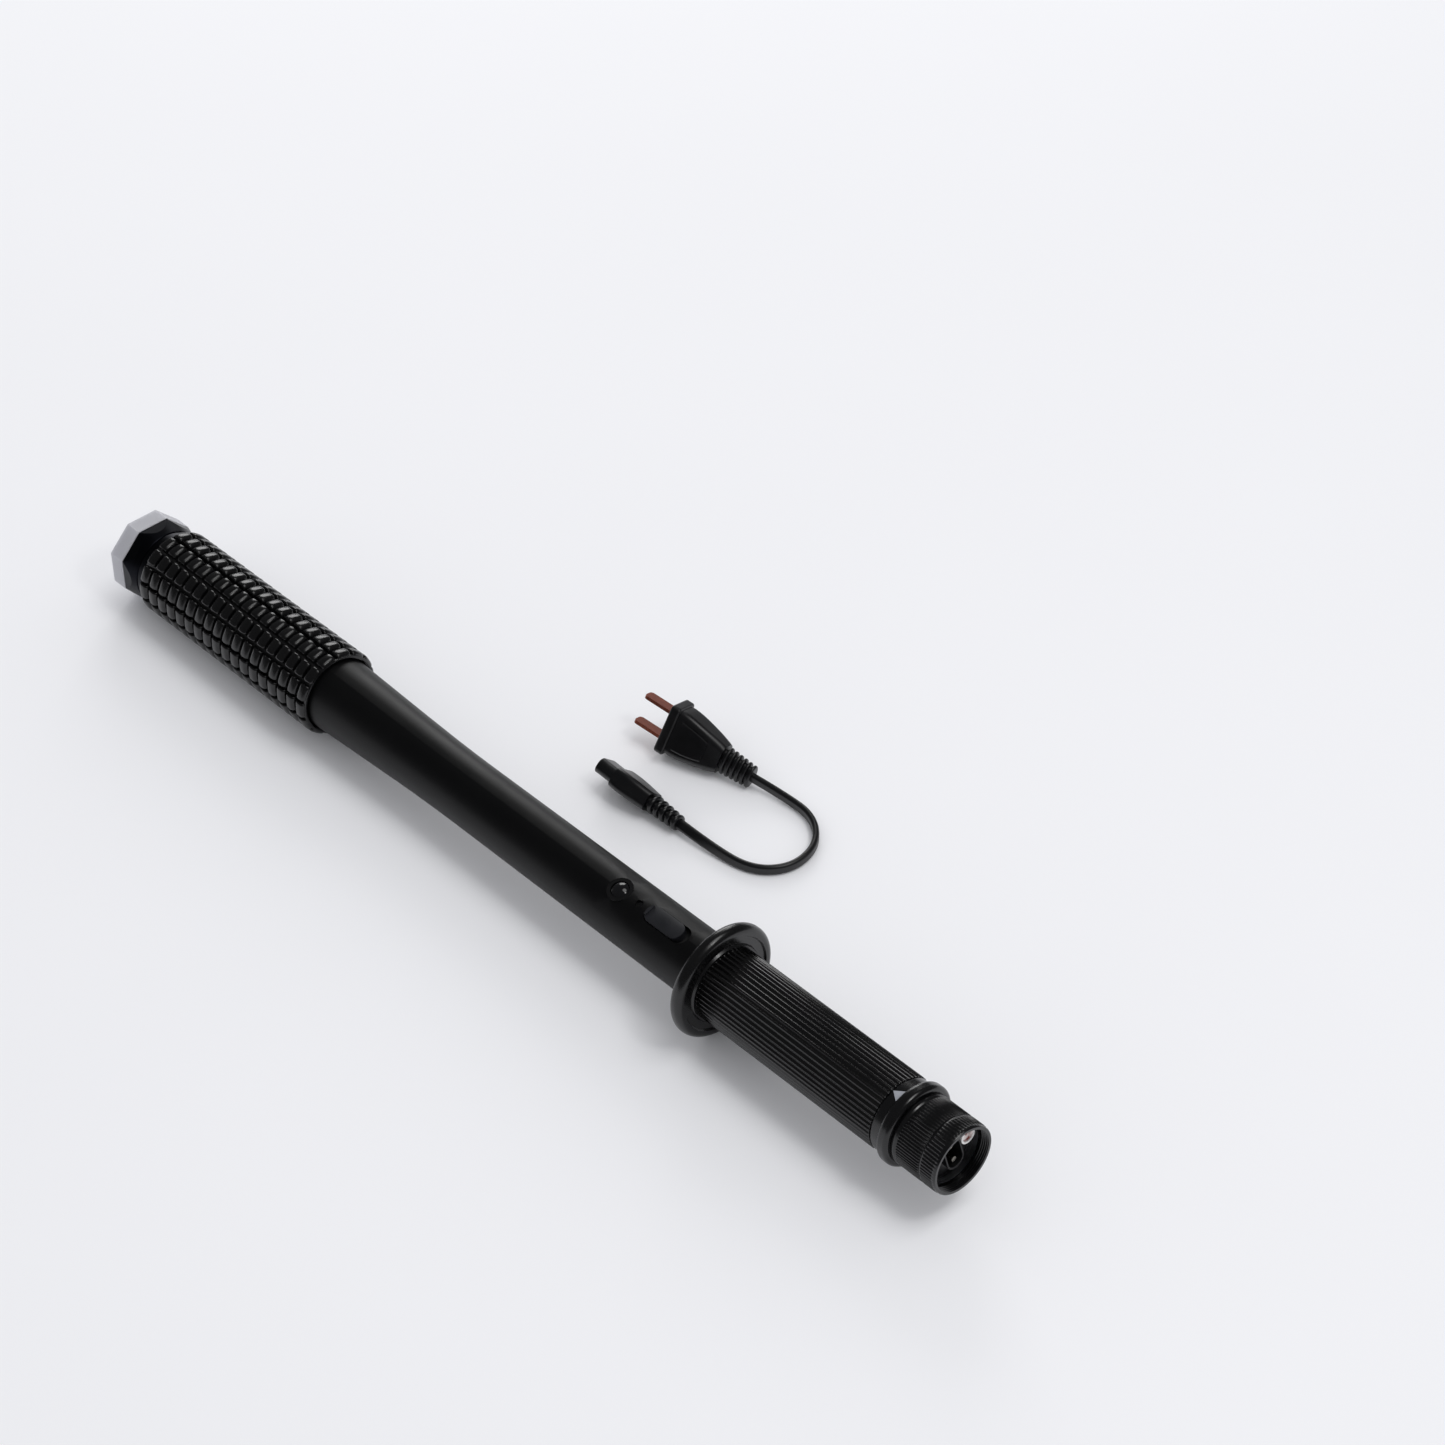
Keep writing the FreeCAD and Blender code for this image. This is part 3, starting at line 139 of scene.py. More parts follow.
def moulded(name, low, high, roughness, ior, grain, depth, mottle=12, spread=0.06):
    """A moulded polymer: a faint slow mottle of colour and gloss, and the tool's fine grain as bump.

    grain and mottle are the sizes of the texture's features, and depth is the grain's, in millimetres.
    """
    material, place = blank(name)
    slow = add_node(material, "ShaderNodeTexNoise", {"Vector": place, "Scale": 1000 / mottle, "Detail": 4})
    fine = add_node(material, "ShaderNodeTexNoise", {"Vector": place, "Scale": 1000 / grain, "Detail": 3})
    tone = add_node(material, "ShaderNodeMix", {0: (slow, "Fac"), 6: colour(low), 7: colour(high)},
                    data_type="RGBA")
    gloss = add_node(material, "ShaderNodeMapRange", {
        "Value": (slow, "Fac"), "From Min": NOISE_LOW, "From Max": NOISE_HIGH,
        "To Min": roughness - spread, "To Max": roughness + spread})
    bump = add_node(material, "ShaderNodeBump", {
        "Height": (fine, "Fac"), "Strength": 1.0, "Distance": depth / 1000})
    return shade(material, {
        "Base Color": (tone, 2), "Roughness": (gloss, "Result"), "IOR": ior, "Normal": (bump, "Normal")})


# Uncoated paper: chalk white, with a very faint fibre.
paper = moulded("matt_white_paper", "F1F1F3", "F4F4F6", roughness=0.9, ior=1.45, grain=1.5, depth=0.01,
                mottle=300)
FLOOR_SIZE = 8
bpy.ops.mesh.primitive_plane_add(size=FLOOR_SIZE, location=(0, 0, 0))
floor = bpy.context.object
floor.name = "paper_sweep"
floor.data.materials.append(paper)

# ---------------------------------------------------------------- charging lead
# A short flat twin cord of soft black PVC between a two-blade plug and a figure-eight connector, both
# moulded on in one shot.  The cord stands on its narrow edge, as a flat cord does when it bends.

CORD_WIDTH = 0.0048
CORD_THICKNESS = 0.0030
cord_route = [
    (0.027758, 0.107931, 0.005366),
    (0.0440, 0.1118, 0.0028),
    (0.0620, 0.1120, 0.0025),
    (0.0760, 0.1008, 0.0025),
    (0.0790, 0.0836, 0.0025),
    (0.0694, 0.0706, 0.0025),
    (0.0512, 0.0668, 0.0025),
    (0.027758, 0.065476, 0.004598),
]
# The cord leans over as it comes to the connector.
cord_roll = [0.0, 0.0, 0.0, 0.0, 0.0, 0.0, 0.35, 0.8]

# Soft PVC: deep black with a dull moulded sheen.
soft_pvc = moulded("soft_black_pvc", "08080A", "0E0E11", roughness=0.36, ior=1.53, grain=0.35, depth=0.012)
# Hard PVC of the plug and connector: a little glossier, with the tool's fine erosion.
hard_pvc = moulded("moulded_black_pvc", "070709", "0C0C0F", roughness=0.33, ior=1.53, grain=0.3, depth=0.010)


def spline_through(name, points, roll):
    """A smooth NURBS line with the route's points as its control points."""
    data = bpy.data.curves.new(name, "CURVE")
    data.dimensions = "3D"
    data.twist_mode = "Z_UP"
    data.resolution_u = 16
    spline = data.splines.new("NURBS")
    spline.points.add(len(points) - 1)
    for point, place, turn in zip(spline.points, points, roll):
        point.co = (*place, 1)
        point.tilt = turn
    spline.order_u = 3
    spline.use_endpoint_u = True
    curve = bpy.data.objects.new(name, data)
    bpy.context.scene.collection.objects.link(curve)
    return curve


flat_cord = spline_through("flat_cord", cord_route, cord_roll)
bpy.context.view_layer.update()
centreline = [tuple(v.co) for v in bpy.data.meshes.new_from_object(flat_cord).vertices]

# The twin's section: two round cores side by side, with a shallow valley between them.
VALLEY = 0.86
section_data = bpy.data.curves.new("twin_section", "CURVE")
section_data.dimensions = "2D"
section_line = section_data.splines.new("POLY")
SECTION_STEPS = 32
core_radius = CORD_THICKNESS / 2
core_shift = CORD_WIDTH / 2 - core_radius
section_line.points.add(SECTION_STEPS - 1)
for step, point in enumerate(section_line.points):
    angle = 2 * math.pi * step / SECTION_STEPS
    along = math.sin(angle)
    lobe = core_shift * (1 if along > 0 else -1) if abs(along) > 0.01 else 0
    valley = 1 if lobe else VALLEY
    point.co = (core_radius * math.cos(angle) * valley, lobe + core_radius * along, 0, 1)
section_line.use_cyclic_u = True
section = bpy.data.objects.new("twin_section", section_data)
bpy.context.scene.collection.objects.link(section)
flat_cord.data.bevel_mode = "OBJECT"
flat_cord.data.bevel_object = section
flat_cord.data.use_fill_caps = True
bpy.ops.object.select_all(action="DESELECT")
flat_cord.select_set(True)
bpy.context.view_layer.objects.active = flat_cord
bpy.ops.object.convert(target="MESH")
flat_cord = bpy.context.object
bpy.data.objects.remove(section)
bpy.ops.object.shade_smooth_by_angle(angle=math.radians(50))
flat_cord.data.materials.append(soft_pvc)


def begin(name, add, **where):
    """Adds a primitive with nothing else selected, and opens it for editing in the set's coordinates."""
    bpy.ops.object.select_all(action="DESELECT")
    add(**where)
    piece = bpy.context.object
    piece.name = name
    piece.data.name = name
    bpy.ops.object.transform_apply(location=True, rotation=True, scale=True)
    bpy.ops.object.mode_set(mode="EDIT")
    return piece


def pick(piece, kind, wanted):
    """Selects in edit mode only the vertices, edges or faces that pass the test."""
    bpy.ops.mesh.select_mode(type=kind)
    bpy.ops.mesh.select_all(action="DESELECT")
    form = bmesh.from_edit_mesh(piece.data)
    for part in {"VERT": form.verts, "EDGE": form.edges, "FACE": form.faces}[kind]:
        if wanted(part):
            part.select_set(True)
    form.select_flush_mode()
    bmesh.update_edit_mesh(piece.data)


def end(piece, place, angle=35):
    """Turns the faces outwards, closes editing, puts the piece in its place and smooths it."""
    bpy.ops.mesh.select_all(action="SELECT")
    bpy.ops.mesh.remove_doubles(threshold=0.000001)
    bpy.ops.mesh.normals_make_consistent(inside=False)
    bpy.ops.object.mode_set(mode="OBJECT")
    piece.data.transform(place)
    bpy.ops.object.select_all(action="DESELECT")
    piece.select_set(True)
    bpy.context.view_layer.objects.active = piece
    bpy.ops.object.shade_smooth_by_angle(angle=math.radians(angle))
    return piece


def joined(name, pieces):
    """One piece made of several."""
    bpy.ops.object.select_all(action="DESELECT")
    for piece in pieces:
        piece.select_set(True)
    bpy.context.view_layer.objects.active = pieces[0]
    bpy.ops.object.join()
    pieces[0].name = name
    pieces[0].data.name = name
    return pieces[0]


def frame_of(origin, forward, side):
    """A frame whose Z runs forward and whose X leans as near to side as it can."""
    forward = Vector(forward).normalized()
    side = Vector(side)
    side = (side - forward * side.dot(forward)).normalized()
    matrix = Matrix((side, forward.cross(side), forward)).transposed().to_4x4()
    matrix.translation = origin
    return matrix


# How far the boot's ribs stand above its core at the first and the last rib, in width and in depth.
FIRST_RIB_STEP = (0.0036, 0.0034)
LAST_RIB_STEP = (0.0034, 0.0032)
# A rib's place, thickness and rounding, as shares of the pitch.
RIB_OFFSET = 0.7
RIB_THICKNESS = 0.66
RIB_ROUNDING = 0.32
BOOT_SIDES = 32


def boot(name, place, start, length, ribs, first, last):
    """A moulded strain relief: oval rounded ribs on a slimmer oval core, all tapering to the cord."""
    pieces = []
    core = begin(name, bpy.ops.mesh.primitive_cylinder_add, vertices=BOOT_SIDES, radius=0.5, depth=length,
                 location=(0, 0, start - length / 2))
    core_ends = ((1, start, first, FIRST_RIB_STEP), (-1, start - length, last, LAST_RIB_STEP))
    for facing, level, size, step in core_ends:
        pick(core, "FACE", lambda face: face.normal.z * facing > 0.9)
        bpy.ops.transform.resize(value=(size[0] - step[0], size[1] - step[1], 1),
                                 center_override=(0, 0, level))
    pieces.append(end(core, place))
    pitch = length / ribs
    for rib in range(ribs):
        share = rib / (ribs - 1)
        width = first[0] + (last[0] - first[0]) * share
        depth = first[1] + (last[1] - first[1]) * share
        middle = start - pitch * (rib + RIB_OFFSET)
        ring = begin(name, bpy.ops.mesh.primitive_cylinder_add, vertices=BOOT_SIDES, radius=0.5,
                     depth=pitch * RIB_THICKNESS, location=(0, 0, middle))
        bpy.ops.transform.resize(value=(width, depth, 1), center_override=(0, 0, middle))
        pick(ring, "EDGE", lambda edge: len(edge.link_faces) == 2 and edge.calc_face_angle() > 1.2)
        bpy.ops.mesh.bevel(offset=pitch * RIB_ROUNDING, segments=5, affect="EDGES")
        pieces.append(end(ring, place, angle=60))
    whole = joined(name, pieces)
    whole.data.materials.append(hard_pvc)
    return whole


mounts = {mount["name"]: mount for mount in frame["record"]["mounts"]}
BLADE_REACH = 0.015
PLUG_SIDE = (0.082, 0.432, 0.900)
CONNECTOR_FRONT = (-0.0169, 0.0630, 0.00955)
CONNECTOR_NOSE = (-0.992, -0.055, 0.11)
CONNECTOR_SIDE = (0, -0.72, 0.694)
plug_nose = Vector(mounts["plug_blades_tip"]["axis"])
plug_front = Vector(mounts["plug_blades_tip"]["pos_m"]) - plug_nose * BLADE_REACH
plug_place = frame_of(plug_front, plug_nose, PLUG_SIDE)
connector_place = frame_of(CONNECTOR_FRONT, CONNECTOR_NOSE, CONNECTOR_SIDE)
plug_boot = boot("plug_boot", plug_place, start=-0.029, length=0.0155, ribs=6,
                 first=(0.0132, 0.0092), last=(0.0110, 0.0078))
connector_boot = boot("connector_boot", connector_place, start=-0.0285, length=0.0165, ribs=5,
                      first=(0.0110, 0.0088), last=(0.0090, 0.0074))

# Copper-plated blades: warm red-brown, dulled by handling, with drawn lines along them.
material, place = blank("tarnished_copper_plate")
stretched = add_node(material, "ShaderNodeMapping", {"Vector": place, "Scale": (60, 1500, 1500)})
drawn = add_node(material, "ShaderNodeTexNoise", {"Vector": (stretched, "Vector"), "Scale": 1.0, "Detail": 3})
tarnish = add_node(material, "ShaderNodeTexNoise", {"Vector": place, "Scale": 700, "Detail": 5})
tone = add_node(material, "ShaderNodeMix", {0: (tarnish, "Fac"), 6: colour("6E3428"), 7: colour("B06A55")},
                data_type="RGBA")
dull = add_node(material, "ShaderNodeMapRange", {
    "Value": (tarnish, "Fac"), "From Min": NOISE_LOW, "From Max": NOISE_HIGH, "To Min": 0.32, "To Max": 0.52})
bump = add_node(material, "ShaderNodeBump", {"Height": (drawn, "Fac"), "Distance": 0.00002})
copper_plate = shade(material, {
    "Base Color": (tone, 2), "Metallic": 0.9, "Roughness": (dull, "Result"), "Normal": (bump, "Normal")})


def finish(material, *names):
    """Gives CAD nodes or finished pieces their material."""
    for name in names:
        target = frame["nodes"].get(name) or bpy.data.objects[name]
        target.data.materials.clear()
        target.data.materials.append(material)


finish(hard_pvc, "plug_body", "connector_body")
finish(copper_plate, "plug_blades")
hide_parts("lead_cable")
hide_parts("plug_relief")
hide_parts("connector_relief")
for piece in (flat_cord, plug_boot, connector_boot):
    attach(piece, "charging_lead")

# ---------------------------------------------------------------- tail
# The screwed rim and the turning ring are moulded from black nylon with fine axial ribs for grip, and the
# rim's mouth is cut with a shallow thread.  Both are turned shells whose ribs run along the axis.

joints = {joint["name"]: joint for joint in frame["record"]["behaviour"]["joints"]}
BATON_LENGTH = 0.523
towards_head = Vector(mounts["head_face"]["axis"])
tail_mouth = Vector(mounts["head_face"]["pos_m"]) - towards_head * BATON_LENGTH
baton = frame_of(tail_mouth, towards_head, -Vector(joints["button_press"]["axis"]))
# Each rib and its furrow take six sides of a turned wall; a furrow's flanks sink by these shares of its
# depth.
PER_RIB = 6
OUTER_FLANK = 0.28
INNER_FLANK = 0.8


def turned(name, sides, outline):
    """A closed wall about the axis: a ring of vertices pulled round an outline of (radius, station) in mm."""
    outline = [(radius / 1000, station / 1000) for radius, station in outline]
    piece = begin(name, bpy.ops.mesh.primitive_circle_add, vertices=sides, radius=outline[0][0],
                  location=(0, 0, outline[0][1]))
    for (before, level), (after, following) in zip(outline, outline[1:]):
        bpy.ops.mesh.extrude_region_move(TRANSFORM_OT_translate={"value": (0, 0, following - level)})
        bpy.ops.transform.resize(value=(after / before, after / before, 1), center_override=(0, 0, following))
    pick(piece, "EDGE", lambda edge: edge.is_boundary)
    bpy.ops.mesh.bridge_edge_loops()
    return piece


def ribbed(piece, ribs, crest, root, low, high):
    """Sinks rounded furrows between axial ribs on the band from low to high; all sizes in mm."""
    sides = ribs * PER_RIB

    def sunk(steps):
        def wanted(vertex):
            x, y, z = vertex.co * 1000
            if not low - 0.01 < z < high + 0.01 or math.hypot(x, y) < crest - 0.05:
                return False
            return round(math.atan2(y, x) / (2 * math.pi) * sides) % PER_RIB in steps
        return wanted

    for steps, share in (((1, 5), OUTER_FLANK), ((2, 4), INNER_FLANK), ((3,), 1)):
        pick(piece, "VERT", sunk(steps))
        shrink = (crest + (root - crest) * share) / crest
        bpy.ops.transform.resize(value=(shrink, shrink, 1), center_override=(0, 0, low / 1000))


# Glossy moulded nylon: near black with a clear, slightly wavy shine.
gloss_nylon = moulded("polished_black_nylon", "060607", "0A0A0C", roughness=0.24, ior=1.53, grain=0.9,
                      depth=0.002, mottle=9, spread=0.015)

# Sizes from here on are radii, and stations from the mouth, in millimetres.
RIM_RIBS = 66
RIM_CREST = 15.78
RIM_ROOT = 15.2
RIM_RIBS_START = 2.0
RIM_RIBS_END = 7.6
MOUTH_RADIUS = 14.0
THREAD_RADIUS = 14.4
THREAD_TURNS = 4
THREAD_PITCH = 1.0
THREAD_START = 3.9
thread = []
for turn in range(THREAD_TURNS):
    crest = THREAD_START - turn * THREAD_PITCH
    thread += [(MOUTH_RADIUS, crest), (THREAD_RADIUS, crest - 0.3), (THREAD_RADIUS, crest - 0.5),
               (MOUTH_RADIUS, crest - 0.8)]
rim = turned("threaded_rim", RIM_RIBS * PER_RIB, [
    (14.5, 0.0), (15.2, 0.0), (15.45, 0.3), (15.5, 1.6), (RIM_CREST, RIM_RIBS_START),
    (RIM_CREST, RIM_RIBS_END), (15.45, 8.0), (15.3, 8.6), (13.82, 8.6), (13.82, 4.62), (14.22, 4.6),
    (14.22, 4.02), *thread, (MOUTH_RADIUS, 0.06),
])
ribbed(rim, RIM_RIBS, RIM_CREST, RIM_ROOT, RIM_RIBS_START, RIM_RIBS_END)
end(rim, baton, angle=50)

RING_RIBS = 72
RING_CREST = 15.8
RING_ROOT = 15.15
RING_RIBS_START = 9.3
RING_RIBS_END = 20.7
ring = turned("knurled_ring", RING_RIBS * PER_RIB, [
    (14.42, 8.8), (15.2, 8.8), (RING_CREST, RING_RIBS_START), (RING_CREST, RING_RIBS_END), (15.3, 21.2),
    (15.3, 21.4), (15.75, 21.8), (15.8, 22.0), (15.8, 23.3), (15.6, 23.7), (14.42, 23.7),
])
ribbed(ring, RING_RIBS, RING_CREST, RING_ROOT, RING_RIBS_START, RING_RIBS_END)
end(ring, baton, angle=50)
finish(gloss_nylon, "threaded_rim", "knurled_ring", "flange_ring", "grip_collar")
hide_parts("tail_rim")
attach(rim, "baton")
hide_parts("tail_ring")
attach(ring, "tail_ring")

# ---------------------------------------------------------------- charging inlet and index mark
# Behind the mouth a black ABS floor holds the inlet's socket with its two nickel pins, and a white ring
# with a red-brown lens shows the charge.  The collar's triangle is filled with pale grey paint.

# Moulded ABS, left as it comes from a sparked tool: dull black with a fine orange-peel.
dull_abs = moulded("sparked_black_abs", "0A0A0B", "111113", roughness=0.48, ior=1.54, grain=0.5, depth=0.02)
# Filled paint: chalky, a little uneven at this size.
mark_paint = moulded("pale_grey_paint", "85888F", "A3A6AD", roughness=0.55, ior=1.5, grain=0.4, depth=0.02,
                     mottle=1.2)
# Moulded ABS: clean glossy white.
white_abs = moulded("glossy_white_abs", "F2F0EE", "FCFBF9", roughness=0.25, ior=1.54, grain=0.8,
                    depth=0.004, mottle=2)
# Cast lens over its diode: cloudy pink-white with red-brown patches where the diode shows through.
material, place = blank("red_brown_lens")
cloud = add_node(material, "ShaderNodeTexNoise", {"Vector": place, "Scale": 520, "Detail": 2})
patch = add_node(material, "ShaderNodeMapRange", {
    "Value": (cloud, "Fac"), "From Min": 0.42, "From Max": 0.6, "To Min": 0.0, "To Max": 1.0})
tone = add_node(material, "ShaderNodeMix", {0: (patch, "Result"), 6: colour("E9DCDA"), 7: colour("7A352E")},
                data_type="RGBA")
lens_red = shade(material, {"Base Color": (tone, 2), "Roughness": 0.12, "IOR": 1.5, "Coat Weight": 0.6})


# How far the lines move a metal's roughness either way.
LINE_SPREAD = 0.08


def drawn_metal(name, low, high, roughness, along, depth):
    """A bare metal with fine working lines.

    along is the pattern's scale per metre on each axis, and depth is the lines', in millimetres.
    """
    material, place = blank(name)
    stretched = add_node(material, "ShaderNodeMapping", {"Vector": place, "Scale": along})
    lines = add_node(material, "ShaderNodeTexNoise", {
        "Vector": (stretched, "Vector"), "Scale": 1.0, "Detail": 3})
    tone = add_node(material, "ShaderNodeMix", {0: (lines, "Fac"), 6: colour(low), 7: colour(high)},
                    data_type="RGBA")
    rough = add_node(material, "ShaderNodeMapRange", {
        "Value": (lines, "Fac"), "To Min": roughness - LINE_SPREAD, "To Max": roughness + LINE_SPREAD})
    bump = add_node(material, "ShaderNodeBump", {"Height": (lines, "Fac"), "Distance": depth / 1000})
    return shade(material, {
        "Base Color": (tone, 2), "Metallic": 1.0, "Roughness": (rough, "Result"), "Normal": (bump, "Normal")})


# Nickel plate on turned pins: warm grey, bright, with faint lathe lines across the pin.
nickel = drawn_metal("nickel_plate", "8F8B84", "C9C4BA", roughness=0.2, along=(2500, 150, 150), depth=0.004)
# Zinc-plated steel screws and springs: cooler and duller.
zinc = drawn_metal("zinc_plated_steel", "7D8086", "B5B8BD", roughness=0.35, along=(600, 600, 600),
                   depth=0.006)
finish(dull_abs, "tail_floor", "inlet_socket")
finish(nickel, "inlet_pins", "connector_contacts")
finish(zinc, "floor_screws")
finish(white_abs, "charge_lamp_ring")
finish(lens_red, "charge_lamp")
finish(mark_paint, "index_mark")

# ---------------------------------------------------------------- grip and guard
# The grip is a black rubber sleeve with fine lengthwise ribs, pushed on the handle tube; the guard is a
# polished nylon disc, moulded with a rounded rim and trapped between the grip and the shaft.

# Nitrile rubber: near black, with a low oily sheen that picks out the ribs.
grip_rubber = moulded("black_nitrile_rubber", "040405", "090909", roughness=0.22, ior=1.52, grain=0.25,
                      depth=0.004, spread=0.03)
# Tumbled nylon: near black, glossy, with a slight unevenness.
guard_nylon = moulded("polished_guard_nylon", "060607", "0A0A0B", roughness=0.24, ior=1.53, grain=1.2,
                      depth=0.005, mottle=15, spread=0.05)
GRIP_RIBS = 48
GRIP_CREST = 16.75
GRIP_ROOT = 15.95
GRIP_RIBS_START = 35.1
GRIP_RIBS_END = 132.5
grip = turned("ribbed_grip_sleeve", GRIP_RIBS * PER_RIB, [
    (15.1, 34.62), (16.3, 34.62), (GRIP_CREST, GRIP_RIBS_START), (GRIP_CREST, GRIP_RIBS_END),
    (16.3, 132.98), (15.1, 132.98),
])
ribbed(grip, GRIP_RIBS, GRIP_CREST, GRIP_ROOT, GRIP_RIBS_START, GRIP_RIBS_END)
end(grip, baton, angle=50)
finish(grip_rubber, "ribbed_grip_sleeve", "tail_seal")
finish(guard_nylon, "guard_disc")
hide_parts("ribbed_grip")
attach(grip, "baton")

# ---------------------------------------------------------------- shaft
# An aluminium tube, drawn to a waist and flared under the sleeve, bead-blasted and anodised black, so it
# shows a broad soft highlight with a very fine sparkle.

# Features per metre: a blasted pit every 0.2 mm, and a slow change of tone every 45 mm.
PITS = 4500
TONES = 22
material, place = blank("satin_black_anodised_aluminium")
blast = add_node(material, "ShaderNodeTexNoise", {"Vector": place, "Scale": PITS, "Detail": 2})
slow = add_node(material, "ShaderNodeTexNoise", {"Vector": place, "Scale": TONES, "Detail": 3})
tone = add_node(material, "ShaderNodeMix", {0: (slow, "Fac"), 6: colour("040405"), 7: colour("080809")},
                data_type="RGBA")
rough = add_node(material, "ShaderNodeMapRange", {
    "Value": (slow, "Fac"), "From Min": NOISE_LOW, "From Max": NOISE_HIGH, "To Min": 0.38, "To Max": 0.46})
bump = add_node(material, "ShaderNodeBump", {"Height": (blast, "Fac"), "Distance": 0.000012})
anodised = shade(material, {
    "Base Color": (tone, 2), "Roughness": (rough, "Result"), "IOR": 1.5, "Specular IOR Level": 0.22,
    "Normal": (bump, "Normal")})
finish(anodised, "shaft_tube")

# ---------------------------------------------------------------- controls
# A polished dome button stands in a moulded surround, beside it are the pilot lamp's dark light pipe and a
# long thumb slider of dark grey acetal with a raised lip at its front end.

# Polished button: wet-looking black.
button_gloss = moulded("polished_black_acrylic", "0A0A0B", "101012", roughness=0.1, ior=1.49, grain=1.0,
                       depth=0.002, spread=0.03)
# Acetal: waxy dark grey with a dull sheen.
acetal = moulded("dark_grey_acetal", "17181B", "202126", roughness=0.4, ior=1.48, grain=0.4, depth=0.012,
                 mottle=6)
# Smoked acrylic: dark enough to hide its lamp when that is out.
smoked = moulded("smoked_acrylic", "050506", "0B0B0C", roughness=0.15, ior=1.49, grain=0.6, depth=0.002)
finish(button_gloss, "push_button")
finish(acetal, "thumb_slider")
finish(guard_nylon, "button_ring")
finish(smoked, "indicator_pipe")

# ---------------------------------------------------------------- studded sleeve
# A thick moulded rubber sleeve: a tube with eighteen rows of fourteen raised blocks, each with rounded
# edges that catch the light.  Its tail end is a thin lip that stands a little off the shaft.

STUD_ROWS = 18
STUD_COLUMNS = 14
SLEEVE_START = 381.0
SLEEVE_END = 501.0
STUD_TOP = 20.35
STUD_FOOT = 17.6
ROW_GAP = 0.9
COLUMN_GAP = 1.5
# In metres: the rounding of a block's two ends, and of its other edges.
END_ROUNDING = 0.0021
EDGE_ROUNDING = 0.0007
# Only edges at least this far above the foot, in metres, are rounded.
ROUNDED_FROM = 0.0005
row_pitch = (SLEEVE_END - SLEEVE_START) / STUD_ROWS
stud_length = (row_pitch - ROW_GAP) / 1000
column_angle = 2 * math.pi / STUD_COLUMNS
stud_angle = column_angle - COLUMN_GAP / STUD_TOP
stud_height = (STUD_TOP - STUD_FOOT) / 1000

stud = begin("stud", bpy.ops.mesh.primitive_plane_add, size=1, location=(0, 0, 0),
             rotation=(math.pi / 2, 0, 0))
bpy.ops.transform.resize(value=(stud_height, 1, stud_length))
bpy.ops.transform.translate(value=((STUD_TOP + STUD_FOOT) / 2000, 0, 0))
pick(stud, "VERT", lambda vertex: vertex.co.x > STUD_TOP / 1000 - 0.0001)
bpy.ops.mesh.bevel(offset=END_ROUNDING, segments=4, affect="VERTICES")
bpy.ops.mesh.select_all(action="SELECT")
bpy.ops.mesh.spin(steps=4, angle=stud_angle, center=(0, 0, 0), axis=(0, 0, 1))
bpy.ops.mesh.select_all(action="SELECT")
bpy.ops.mesh.normals_make_consistent(inside=False)
pick(stud, "EDGE", lambda edge: edge.is_manifold and edge.calc_face_angle() > 1.0
     and all(math.hypot(v.co.x, v.co.y) > STUD_FOOT / 1000 + ROUNDED_FROM for v in edge.verts))
bpy.ops.mesh.bevel(offset=EDGE_ROUNDING, segments=2, affect="EDGES")
end(stud, Matrix.Rotation(-stud_angle / 2, 4, "Z"), angle=70)

sleeve_pieces = []
for row in range(STUD_ROWS):
    station = (SLEEVE_START + (row + 0.5) * row_pitch) / 1000
    for column in range(STUD_COLUMNS):
        copy = stud.copy()
        copy.data = stud.data.copy()
        copy.data.transform(
            baton @ Matrix.Translation((0, 0, station))
            @ Matrix.Rotation(column * column_angle, 4, "Z"))
        bpy.context.scene.collection.objects.link(copy)
        sleeve_pieces.append(copy)
bpy.data.objects.remove(stud)
BASE_SIDES = 112
base = turned("sleeve_base", BASE_SIDES, [
    (16.95, 501.0), (17.9, 501.0), (18.1, 500.7), (18.1, 384.0), (19.0, 382.2), (19.0, 381.2),
    (18.7, 381.0), (17.95, 381.0), (16.95, 384.0),
])
end(base, baton)
rubber_sleeve = joined("rubber_sleeve", [base, *sleeve_pieces])

# EPDM rubber: black, with a low sheen that changes a little from block to block.
stud_rubber = moulded("black_epdm_rubber", "050506", "0A0A0B", roughness=0.24, ior=1.52, grain=0.3,
                      depth=0.004, spread=0.04)
finish(stud_rubber, "rubber_sleeve")
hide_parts("studded_sleeve")
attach(rubber_sleeve, "baton")

# ---------------------------------------------------------------- head
# A thin retaining ring and the lens bezel are turned from aluminium and anodised blue-black; the cap is a
# matt translucent octagon of polycarbonate, and under it is a clear lens on a rubber seal.

# Turned and anodised aluminium: blue-black satin, with fine rings left by the lathe.
bezel_metal = drawn_metal("blue_black_anodised_aluminium", "121317", "1D1E23", roughness=0.34,
                          along=(2200, 60, 60), depth=0.004)
finish(bezel_metal, "head_ring", "lens_bezel")
finish(grip_rubber, "lens_seal")

# Etched polycarbonate: milky pale grey, light passes in and scatters, so the walls look soft.
material, place = blank("etched_milky_polycarbonate")
etch = add_node(material, "ShaderNodeTexNoise", {"Vector": place, "Scale": 2800, "Detail": 2})
haze = add_node(material, "ShaderNodeTexNoise", {"Vector": place, "Scale": 60, "Detail": 3})
tone = add_node(material, "ShaderNodeMix", {0: (haze, "Fac"), 6: colour("A9A9AE"), 7: colour("B6B6BB")},
                data_type="RGBA")
bump = add_node(material, "ShaderNodeBump", {"Height": (etch, "Fac"), "Distance": 0.00002})
milky = shade(material, {
    "Base Color": (tone, 2), "Roughness": 0.5, "IOR": 1.58, "Subsurface Weight": 0.8,
    "Subsurface Scale": 0.006, "Subsurface Radius": (1.0, 1.0, 1.0), "Normal": (bump, "Normal")})
finish(milky, "end_cap")

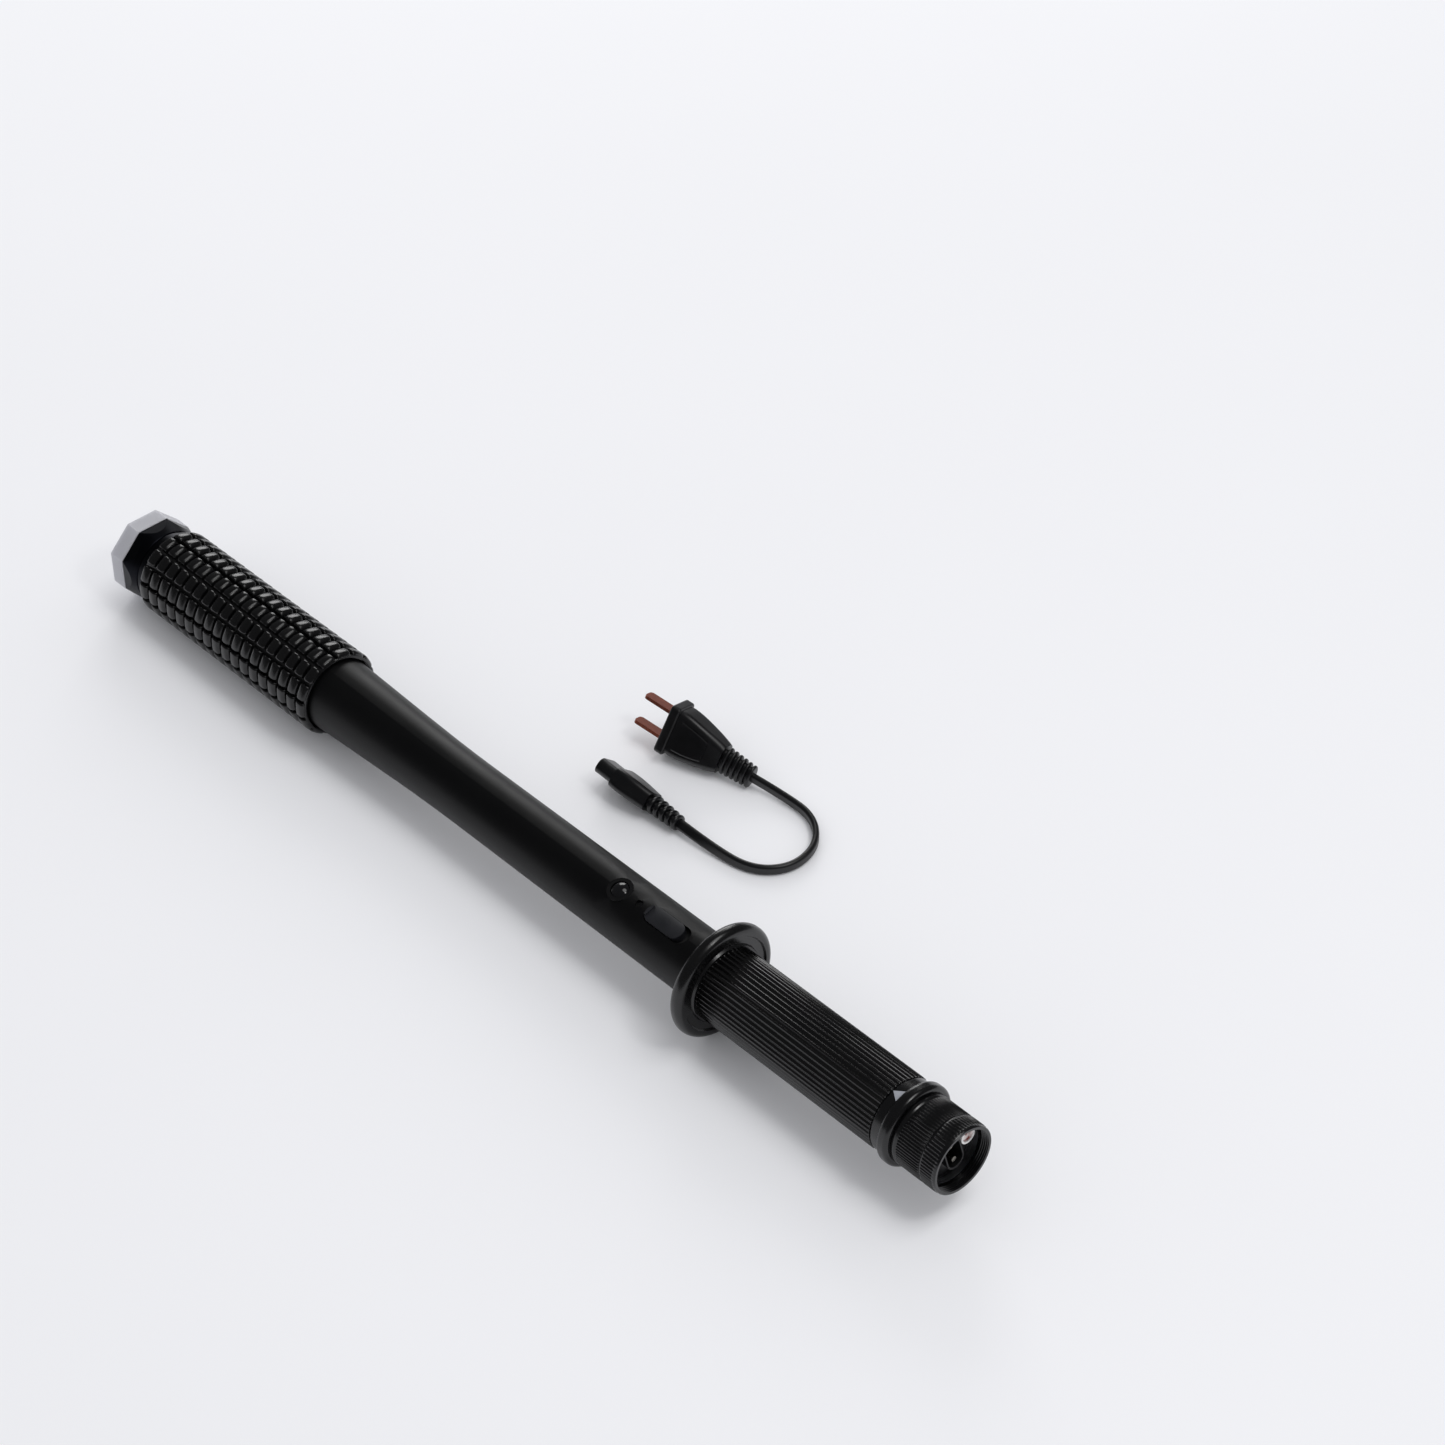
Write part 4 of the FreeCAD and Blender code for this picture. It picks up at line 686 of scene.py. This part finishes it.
# Clear polycarbonate lens: colourless with a faint moulding ripple.
material, place = blank("clear_polycarbonate")
ripple = add_node(material, "ShaderNodeTexNoise", {"Vector": place, "Scale": 120, "Detail": 1})
bump = add_node(material, "ShaderNodeBump", {"Height": (ripple, "Fac"), "Distance": 0.00001})
clear = shade(material, {
    "Base Color": colour("F4F6F8"), "Roughness": 0.03, "IOR": 1.58, "Transmission Weight": 1.0,
    "Normal": (bump, "Normal")})
finish(clear, "front_lens")

# ---------------------------------------------------------------- inside
# The reflector, heat sink, boards, cells and their holder sit inside the shaft.  They are seen only through
# the lens when the cap is pulled, so each has a plain version of its real finish.

# Vacuum-metallised plastic: a near mirror.
mirror = drawn_metal("metallised_reflector", "D8D8DA", "F2F2F4", roughness=0.1, along=(40, 40, 40),
                     depth=0.001)
# Bare turned aluminium: bright, with plain lathe lines.
bare_aluminium = drawn_metal("turned_aluminium", "9A9CA0", "C4C6CA", roughness=0.3, along=(1800, 60, 60),
                             depth=0.008)
# Solder mask over copper: green, with the tracks' faint unevenness.
solder_mask = moulded("green_solder_mask", "0B3A1E", "14552E", roughness=0.3, ior=1.55, grain=0.6, depth=0.02,
                      mottle=1.5)
# Silicone filled with phosphor: deep yellow.
phosphor = moulded("yellow_phosphor_silicone", "D9B23A", "F0D466", roughness=0.35, ior=1.41, grain=0.5,
                   depth=0.01, mottle=2)
# Shrunk film round a cell: glossy blue with soft wrinkles.
shrink_film = moulded("blue_shrink_film", "14356B", "1C4788", roughness=0.25, ior=1.57, grain=4, depth=0.02,
                      mottle=20)
finish(mirror, "reflector")
finish(bare_aluminium, "heat_sink", "handle_tube")
finish(solder_mask, "led_board", "driver_board", "charge_board", "switch_board")
finish(phosphor, "led_emitter", "indicator_led")
finish(shrink_film, "rear_cell", "front_cell")
finish(nickel, "rear_contact", "front_contact")
finish(zinc, "battery_spring", "board_screws", "slide_switch")
finish(grip_rubber, "shock_rings")
finish(soft_pvc, "lamp_wires", "inlet_wires")
finish(dull_abs, "battery_holder", "board_cradle", "tact_switch", "switch_plunger", "slider_guide")
